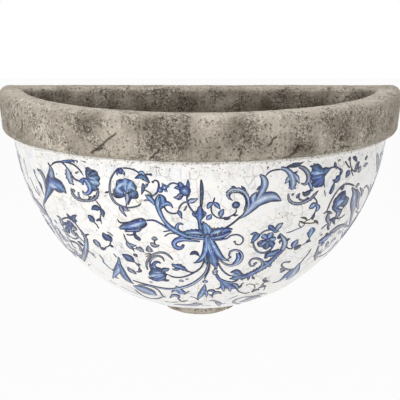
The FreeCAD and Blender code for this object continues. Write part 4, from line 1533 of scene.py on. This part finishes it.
def add_fillet(shape):
    """Adds the bar of luting clay that fills the corner between the rim's back run and the slab."""
    left, right = (
        [shape.verts.new((side, y * MM, z * MM)) for y, z in FILLET_SECTION] for side in (-FILLET_REACH, FILLET_REACH)
    )
    shape.faces.new(reversed(left))
    shape.faces.new(right)
    for i in range(len(left)):
        j = (i + 1) % len(left)
        shape.faces.new((left[i], left[j], right[j], right[i]))


class Skin:
    """A copy of a CAD node in small even faces, whose skin is pressed in, soiled, and lightened or darkened point by
    point.
    """

    def __init__(self, node, name, grain, fillet=False):
        self.node = node
        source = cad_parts[node].data.copy()
        shape = bmesh.new()
        shape.from_mesh(source)
        bmesh.ops.remove_doubles(shape, verts=shape.verts, dist=1e-6)
        if fillet:
            add_fillet(shape)
        shape.to_mesh(source)
        shape.free()
        self.piece = bpy.data.objects.new(name, source)
        bpy.context.scene.collection.objects.link(self.piece)
        remesh = self.piece.modifiers.new("Even faces", "REMESH")
        remesh.mode = "VOXEL"
        remesh.voxel_size = grain
        smooth = self.piece.modifiers.new("Soft edges", "SMOOTH")
        smooth.factor = 0.5
        smooth.iterations = 3
        evaluated = self.piece.evaluated_get(bpy.context.evaluated_depsgraph_get())
        mesh = bpy.data.meshes.new_from_object(evaluated)
        mesh.name = name
        self.piece.modifiers.clear()
        self.piece.data = mesh
        bpy.data.meshes.remove(source)
        count = len(mesh.vertices)
        points, outward = np.empty(count * 3), np.empty(count * 3)
        mesh.vertices.foreach_get("co", points)
        mesh.vertex_normals.foreach_get("vector", outward)
        self.points, self.outward = points.reshape(-1, 3), outward.reshape(-1, 3)
        self.depth = np.zeros(count)
        self.dirt = np.zeros(count)
        self.tone = np.full(count, 0.5)
        self.near = kdtree.KDTree(count)
        for index, place in enumerate(self.points):
            self.near.insert(place, index)
        self.near.balance()

    def waves(self, size, deepest, shift=0.0, stretch=(1, 1, 1)):
        """Presses slow or fine waves into the skin."""
        self.depth += deepest * (0.5 + 0.5 * perlin(self.points * stretch, size, shift))

    def pit(self, centre, radius, deepest, dirt=0.85):
        """Presses in a round pit with dirt in it."""
        for _, index, distance in self.near.find_range(centre, radius):
            share = (1 - (distance / radius) ** 2) ** 1.2
            self.depth[index] = max(self.depth[index], deepest * share + 0.5 * MM)
            self.dirt[index] = max(self.dirt[index], dirt * share)

    def seen(self, flat):
        """The places of the skin that the given points of the view show."""
        polygons = [tuple(polygon.vertices) for polygon in self.piece.data.polygons]
        tree = BVHTree.FromPolygons([Vector(point) for point in self.points], polygons)
        eye = view_frame()[0]
        hits = [tree.ray_cast(eye, Vector(ray))[0] for ray in view_rays(flat)]
        return [hit for hit in hits if hit is not None]

    def cloud(self, centre, radius, darker):
        """Darkens a soft patch."""
        for _, index, distance in self.near.find_range(centre, 2 * radius):
            self.tone[index] -= darker * math.exp(-((distance / radius) ** 2))

    def finish(self, material, slot):
        """Presses the skin in, within the CAD solid's box, and makes the piece."""
        pressed = self.points - self.outward * self.depth[:, None]
        low, high = (np.array(corner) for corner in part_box(self.node))
        pressed = np.clip(pressed, low + 0.05 * MM, high - 0.02 * MM)
        mesh = self.piece.data
        mesh.vertices.foreach_set("co", pressed.ravel())
        for name, values in (("dirt", self.dirt), ("tone", self.tone)):
            mesh.attributes.new(name, "FLOAT", "POINT").data.foreach_set("value", values)
        mesh.update()
        mesh.shade_smooth()
        mesh.materials.clear()
        mesh.materials.append(material)
        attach(self.piece, "root")
        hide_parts(self.node)


def clay_material(name, streaks=1.0):
    """Weathered bare clay: the tone attribute lightens and darkens it, the dirt attribute soils it."""
    clay = bpy.context.scene.planter_clay
    recipe = new_recipe(name)
    broad = recipe.noise(34 * MM, 4, 0.6) - 0.5
    patches = recipe.noise(9 * MM, 6, 0.72) - 0.5
    grain = recipe.noise(1.5 * MM, 4, 0.8) - 0.5
    brushed = recipe.noise(1.0, 4, 0.6, place=recipe.stretched((330, 330, 30))) - 0.5
    gritty = recipe.noise(2.6 * MM, 4, 0.8, twist=0.3) - 0.5
    rough = recipe.noise(22 * MM, 3, 0.6, twist=0.3).between(0.44, 0.58)
    value = recipe.attribute("tone") + broad * 0.35 + patches * (rough * 0.6 + 0.4) + brushed * (0.4 * streaks)
    value = value + gritty * (rough * 1.9 + 0.7) + grain * (rough * 1.4 + 1.1)
    wandering = recipe.noise(10 * MM, 5, 0.65, twist=0.6) - 0.5
    veins = (1 - wandering.larger(0 - wandering) * 55).between(0.0, 1.0) * rough
    pocks = recipe.specks(3.2 * MM, 0.34, 0.20) * recipe.noise(7 * MM, 3).between(0.46, 0.56)
    small_pocks = recipe.specks(2.1 * MM, 0.36, 0.20) * recipe.noise(5 * MM, 3, twist=0.2).between(0.50, 0.60) * rough
    pocks = pocks.larger(small_pocks)
    value = value - veins * 0.4
    body = recipe.ramp(value, [(0.0, clay.dark), (0.5, clay.middle), (1.0, clay.light)])
    body = recipe.mix(pocks * 0.62, body, clay.dirt)
    chalk = recipe.specks(2.9 * MM, 0.22, 0.12, recipe.stretched((1, 1, 1), (0.3, 0.1, 0.7)))
    body = recipe.mix(chalk * recipe.noise(12 * MM, 3).between(0.5, 0.62) * 0.5, body, clay.chalk)
    body = recipe.mix(recipe.attribute("dirt"), body, clay.dirt)
    relief = recipe.bump(grain * 0.8 + gritty * 0.8 + patches * 0.5 - veins * 0.4 - pocks * 0.9, 1.2 * MM, 0.9)
    return recipe.finish(base_color=body, roughness=0.93, normal=relief, specular_ior_level=0.25)


class OBJECT_OT_planter_rim(PlanterOperator, bpy.types.Operator):
    """Build the heavy unglazed rim"""

    bl_idname = "object.planter_rim"
    bl_label = "Rim"

    def execute(self, context):
        clay = context.scene.planter_clay
        skin = Skin("rim_collar", "rim", clay.grain, fillet=True)
        skin.waves(38 * MM, clay.unevenness)
        skin.waves(12 * MM, 0.35 * MM, 5.0)
        skin.waves(3.0 * MM, 0.3 * MM, 9.0)
        self.turn(skin)
        self.paint_top_light_darken_inside(skin)
        self.mark(skin, clay.pits)
        skin.finish(clay_material("Aged unglazed rim"), "rim_clay")
        return {"FINISHED"}

    def turn(self, skin):
        """Presses in the fine grooves that run round the rim."""
        x, y, z = skin.points.T
        round_way = np.stack([np.arctan2(x, -y) * 0.19, z * 0.14, z * 0], axis=1)
        skin.depth += 0.2 * MM * (0.5 + 0.5 * perlin(round_way, 3.4 * MM, 2.0))

    def paint_top_light_darken_inside(self, skin):
        """Lightens upward faces as painted light from above, less so at the wall, and darkens the inside."""
        x, y, z = skin.points.T
        below_top = (CAD_BOX[1][2] - z) / MM - RIM_EDGE
        inside = (np.hypot(x, y) < RIM_INNER_RADIUS) & (y < RIM_BACK_Y) & (below_top > 0)
        # Painted light from above: upward faces are lighter, less so towards the wall.
        painted_top_light = np.clip(skin.outward[:, 2], 0, 1) ** 2
        behind = np.clip((y / MM + 40) / 16, 0, 1)
        skin.tone += (0.26 - 0.20 * behind) * painted_top_light - np.where(inside, 0.15 * np.clip(below_top / 4, 0, 1), 0)
        skin.tone += np.where(inside, 0.45 * perlin(skin.points, 16 * MM, 7.0), 0)

    def mark(self, skin, pits):
        """Presses in pits and cracks, and lays patches of another tone."""
        dice = random.Random(RIM_SEED)
        for _ in range(pits):
            size = dice.uniform(0.7, 1.7) * MM
            skin.pit(skin.points[dice.randrange(len(skin.points))], size, size * 0.6, 0.7)
        for place, (_, _, size) in zip(skin.seen([mark[:2] for mark in RIM_PITS]), RIM_PITS):
            skin.pit(place, size * 0.9 * MM, size * 0.7 * MM)
        for width, deep, *line in RIM_CRACKS:
            path = smooth_path(line, CRACK_STEPS)
            wavering = path + np.array([[dice.uniform(-0.35, 0.35) for _ in "xy"] for _ in path])
            for place in skin.seen(wavering):
                skin.pit(place, width * MM * dice.uniform(0.85, 1.25), deep * MM, 1.0)
        for place, (_, _, size, darker) in zip(skin.seen([mark[:2] for mark in RIM_CLOUDS]), RIM_CLOUDS):
            skin.cloud(place, size * 0.9 * MM, darker * 1.2)


class OBJECT_OT_planter_bowl(PlanterOperator, bpy.types.Operator):
    """Build the bowl's clay wall"""

    bl_idname = "object.planter_bowl"
    bl_label = "Bowl"

    def execute(self, context):
        skin = Skin("bowl_shell", "bowl", 2.0 * MM)
        points, outward = skin.points, skin.outward
        facing_in = np.einsum("ij,ij->i", outward[:, :2], points[:, :2]) < 0
        rings = 0.5 + 0.5 * np.sin(points[:, 2] / (8.5 * MM) * 2 * math.pi + 2.2 * perlin(points, 60 * MM))
        skin.waves(30 * MM, 0.3 * MM, 4.0)
        skin.depth += np.where(facing_in, 0.45 * MM * rings, 0)
        # The inner face is darker than the outer face.
        skin.tone += np.where(facing_in, -0.14, -0.05) + 0.12 * perlin(points, 40 * MM, 2.0)
        skin.finish(clay_material("Darker clay inside", 0.4), "bowl_clay")
        return {"FINISHED"}


class OBJECT_OT_planter_slab(PlanterOperator, bpy.types.Operator):
    """Build the slab that closes the back"""

    bl_idname = "object.planter_slab"
    bl_label = "Back Slab"

    def execute(self, context):
        skin = Skin("back_slab", "slab", 1.6 * MM)
        points = skin.points
        skin.waves(28 * MM, 0.3 * MM, 6.0)
        skin.waves(4 * MM, 0.28 * MM, 0.0, (0.12, 1, 1))
        facing_in = skin.outward[:, 1] < -0.5
        skin.tone += np.where(facing_in, -0.08, -0.02) + 0.2 * perlin(points, 30 * MM, 3.0)
        skin.finish(clay_material("Slab clay", 0.5), "slab_clay")
        return {"FINISHED"}


class OBJECT_OT_planter_foot(PlanterOperator, bpy.types.Operator):
    """Build the foot"""

    bl_idname = "object.planter_foot"
    bl_label = "Foot"

    def execute(self, context):
        skin = Skin("foot_plug", "foot", 0.9 * MM)
        skin.waves(14 * MM, 0.35 * MM, 6.0)
        skin.waves(2.2 * MM, 0.22 * MM, 1.0)
        skin.dirt = np.clip(perlin(skin.points, 9 * MM, 2.0) * 1.6 - 0.15, 0, 0.6)
        skin.tone += 0.2
        skin.finish(clay_material("Foot clay", 0.3), "foot_clay")
        return {"FINISHED"}


# ---- stage --------------------------------------------------------------------------------------------

LIGHT_TARGET = Vector((0, -0.1, -0.05))
FLOOR_HALF = 7.0
FLOOR_GLOW = 0.93  # how much of what is seen of the floor is its glow


class SCENE_OT_planter_stage(PlanterOperator, bpy.types.Operator):
    """Set up the floor, the soft lights and the camera"""

    bl_idname = "scene.planter_stage"
    bl_label = "Stage"

    def execute(self, context):
        stage = context.scene.planter_stage
        self.make_floor(stage)
        for name, place, size, power in (
            ("Key", (-2.2, -1.9, 0.5), 1.8, stage.key),
            ("Fill", (1.1, -2.6, 0.0), 2.2, stage.fill),
            ("Top", (0.0, 0.1, 2.2), 2.0, stage.top),
        ):
            lamp = bpy.data.lights.new(name, "AREA")
            lamp.shape = "SQUARE"
            lamp.size = size
            lamp.energy = power
            light = bpy.data.objects.new(name, lamp)
            light.location = place
            light.rotation_euler = (LIGHT_TARGET - light.location).to_track_quat("-Z", "Y").to_euler()
            context.scene.collection.objects.link(light)
        self.light_room(context.scene, stage.surroundings)
        self.make_camera(context.scene)
        context.scene.view_settings.view_transform = "Standard"
        return {"FINISHED"}

    def make_floor(self, stage):
        """A floor that throws a soft shadow, and otherwise glows as pale as the room."""
        mesh = bpy.data.meshes.new("floor")
        corners = [(-1, -1), (1, -1), (1, 1), (-1, 1)]
        points = [(x * FLOOR_HALF, y * FLOOR_HALF, -stage.floor_drop) for x, y in corners]
        mesh.from_pydata(points, [], [(0, 1, 2, 3)])
        recipe = new_recipe("Pale floor")
        matte = recipe.add("ShaderNodeBsdfDiffuse", inputs={"Color": (*stage.floor, 1.0)})
        glow = recipe.add("ShaderNodeEmission", inputs={"Strength": 1.0})
        share = seen_rays(recipe) * FLOOR_GLOW
        material = recipe.end_in(recipe.add("ShaderNodeMixShader", inputs={0: share, 1: matte, 2: glow}))
        new_piece("floor", mesh, material)

    def light_room(self, scene, strength):
        """A world that lights at this strength and looks white."""
        scene.world = bpy.data.worlds.new("Pale room")
        recipe = Recipe(scene.world)
        power = seen_rays(recipe) * (1 - strength) + strength
        background = recipe.add("ShaderNodeBackground", inputs={"Color": (1, 1, 1, 1), "Strength": power})
        recipe.end_in(background, "ShaderNodeOutputWorld")

    def make_camera(self, scene):
        camera = bpy.data.cameras.new("Camera")
        camera.lens = VIEW_LENS
        camera.sensor_width = VIEW_SENSOR
        view = bpy.data.objects.new("Camera", camera)
        eye, _, _, forward = view_frame()
        view.location = eye
        view.rotation_euler = forward.to_track_quat("-Z", "Y").to_euler()
        scene.collection.objects.link(view)
        scene.camera = view


def seen_rays(recipe):
    """1 for what the camera sees, straight or in a reflection."""
    kinds = ("Is Camera Ray", "Is Glossy Ray", "Is Transmission Ray")
    straight, mirrored, let_through = (recipe.add("ShaderNodeLightPath", out=kind) for kind in kinds)
    return straight.larger(mirrored).larger(let_through)


class VIEW3D_PT_planter(bpy.types.Panel):
    """Shows the planter's settings and its operators"""

    bl_label = "Wall Planter"
    bl_idname = "VIEW3D_PT_planter"
    bl_space_type = "VIEW_3D"
    bl_region_type = "UI"
    bl_category = "Planter"

    def draw(self, context):
        for settings in (name for name, _ in SETTINGS):
            box = self.layout.box()
            group = getattr(context.scene, settings)
            for name in group.__annotations__:
                box.prop(group, name)
        for operator in OPERATORS:
            self.layout.operator(operator.bl_idname)


SETTINGS = (
    ("planter_clay", ClaySettings),
    ("planter_glaze", GlazeSettings),
    ("planter_ink", InkSettings),
    ("planter_stage", StageSettings),
)
OPERATORS = (
    SCENE_OT_planter_stage,
    OBJECT_OT_planter_rim,
    OBJECT_OT_planter_bowl,
    OBJECT_OT_planter_slab,
    OBJECT_OT_planter_foot,
    OBJECT_OT_planter_glaze,
    OBJECT_OT_planter_front,
    OBJECT_OT_planter_sides,
    OBJECT_OT_planter_breaks,
)


def register():
    for name, settings in SETTINGS:
        bpy.utils.register_class(settings)
        setattr(bpy.types.Scene, name, PointerProperty(type=settings))
    for operator in OPERATORS:
        bpy.utils.register_class(operator)
    bpy.utils.register_class(VIEW3D_PT_planter)


def unregister():
    bpy.utils.unregister_class(VIEW3D_PT_planter)
    for operator in reversed(OPERATORS):
        bpy.utils.unregister_class(operator)
    for name, settings in reversed(SETTINGS):
        delattr(bpy.types.Scene, name)
        bpy.utils.unregister_class(settings)


def main():
    register()
    bpy.ops.scene.planter_stage()
    bpy.ops.object.planter_rim()
    bpy.ops.object.planter_bowl()
    bpy.ops.object.planter_slab()
    bpy.ops.object.planter_foot()
    bpy.ops.object.planter_glaze()
    bpy.ops.object.planter_front()
    bpy.ops.object.planter_sides()
    bpy.ops.object.planter_breaks()


if __name__ == "__main__":
    main()
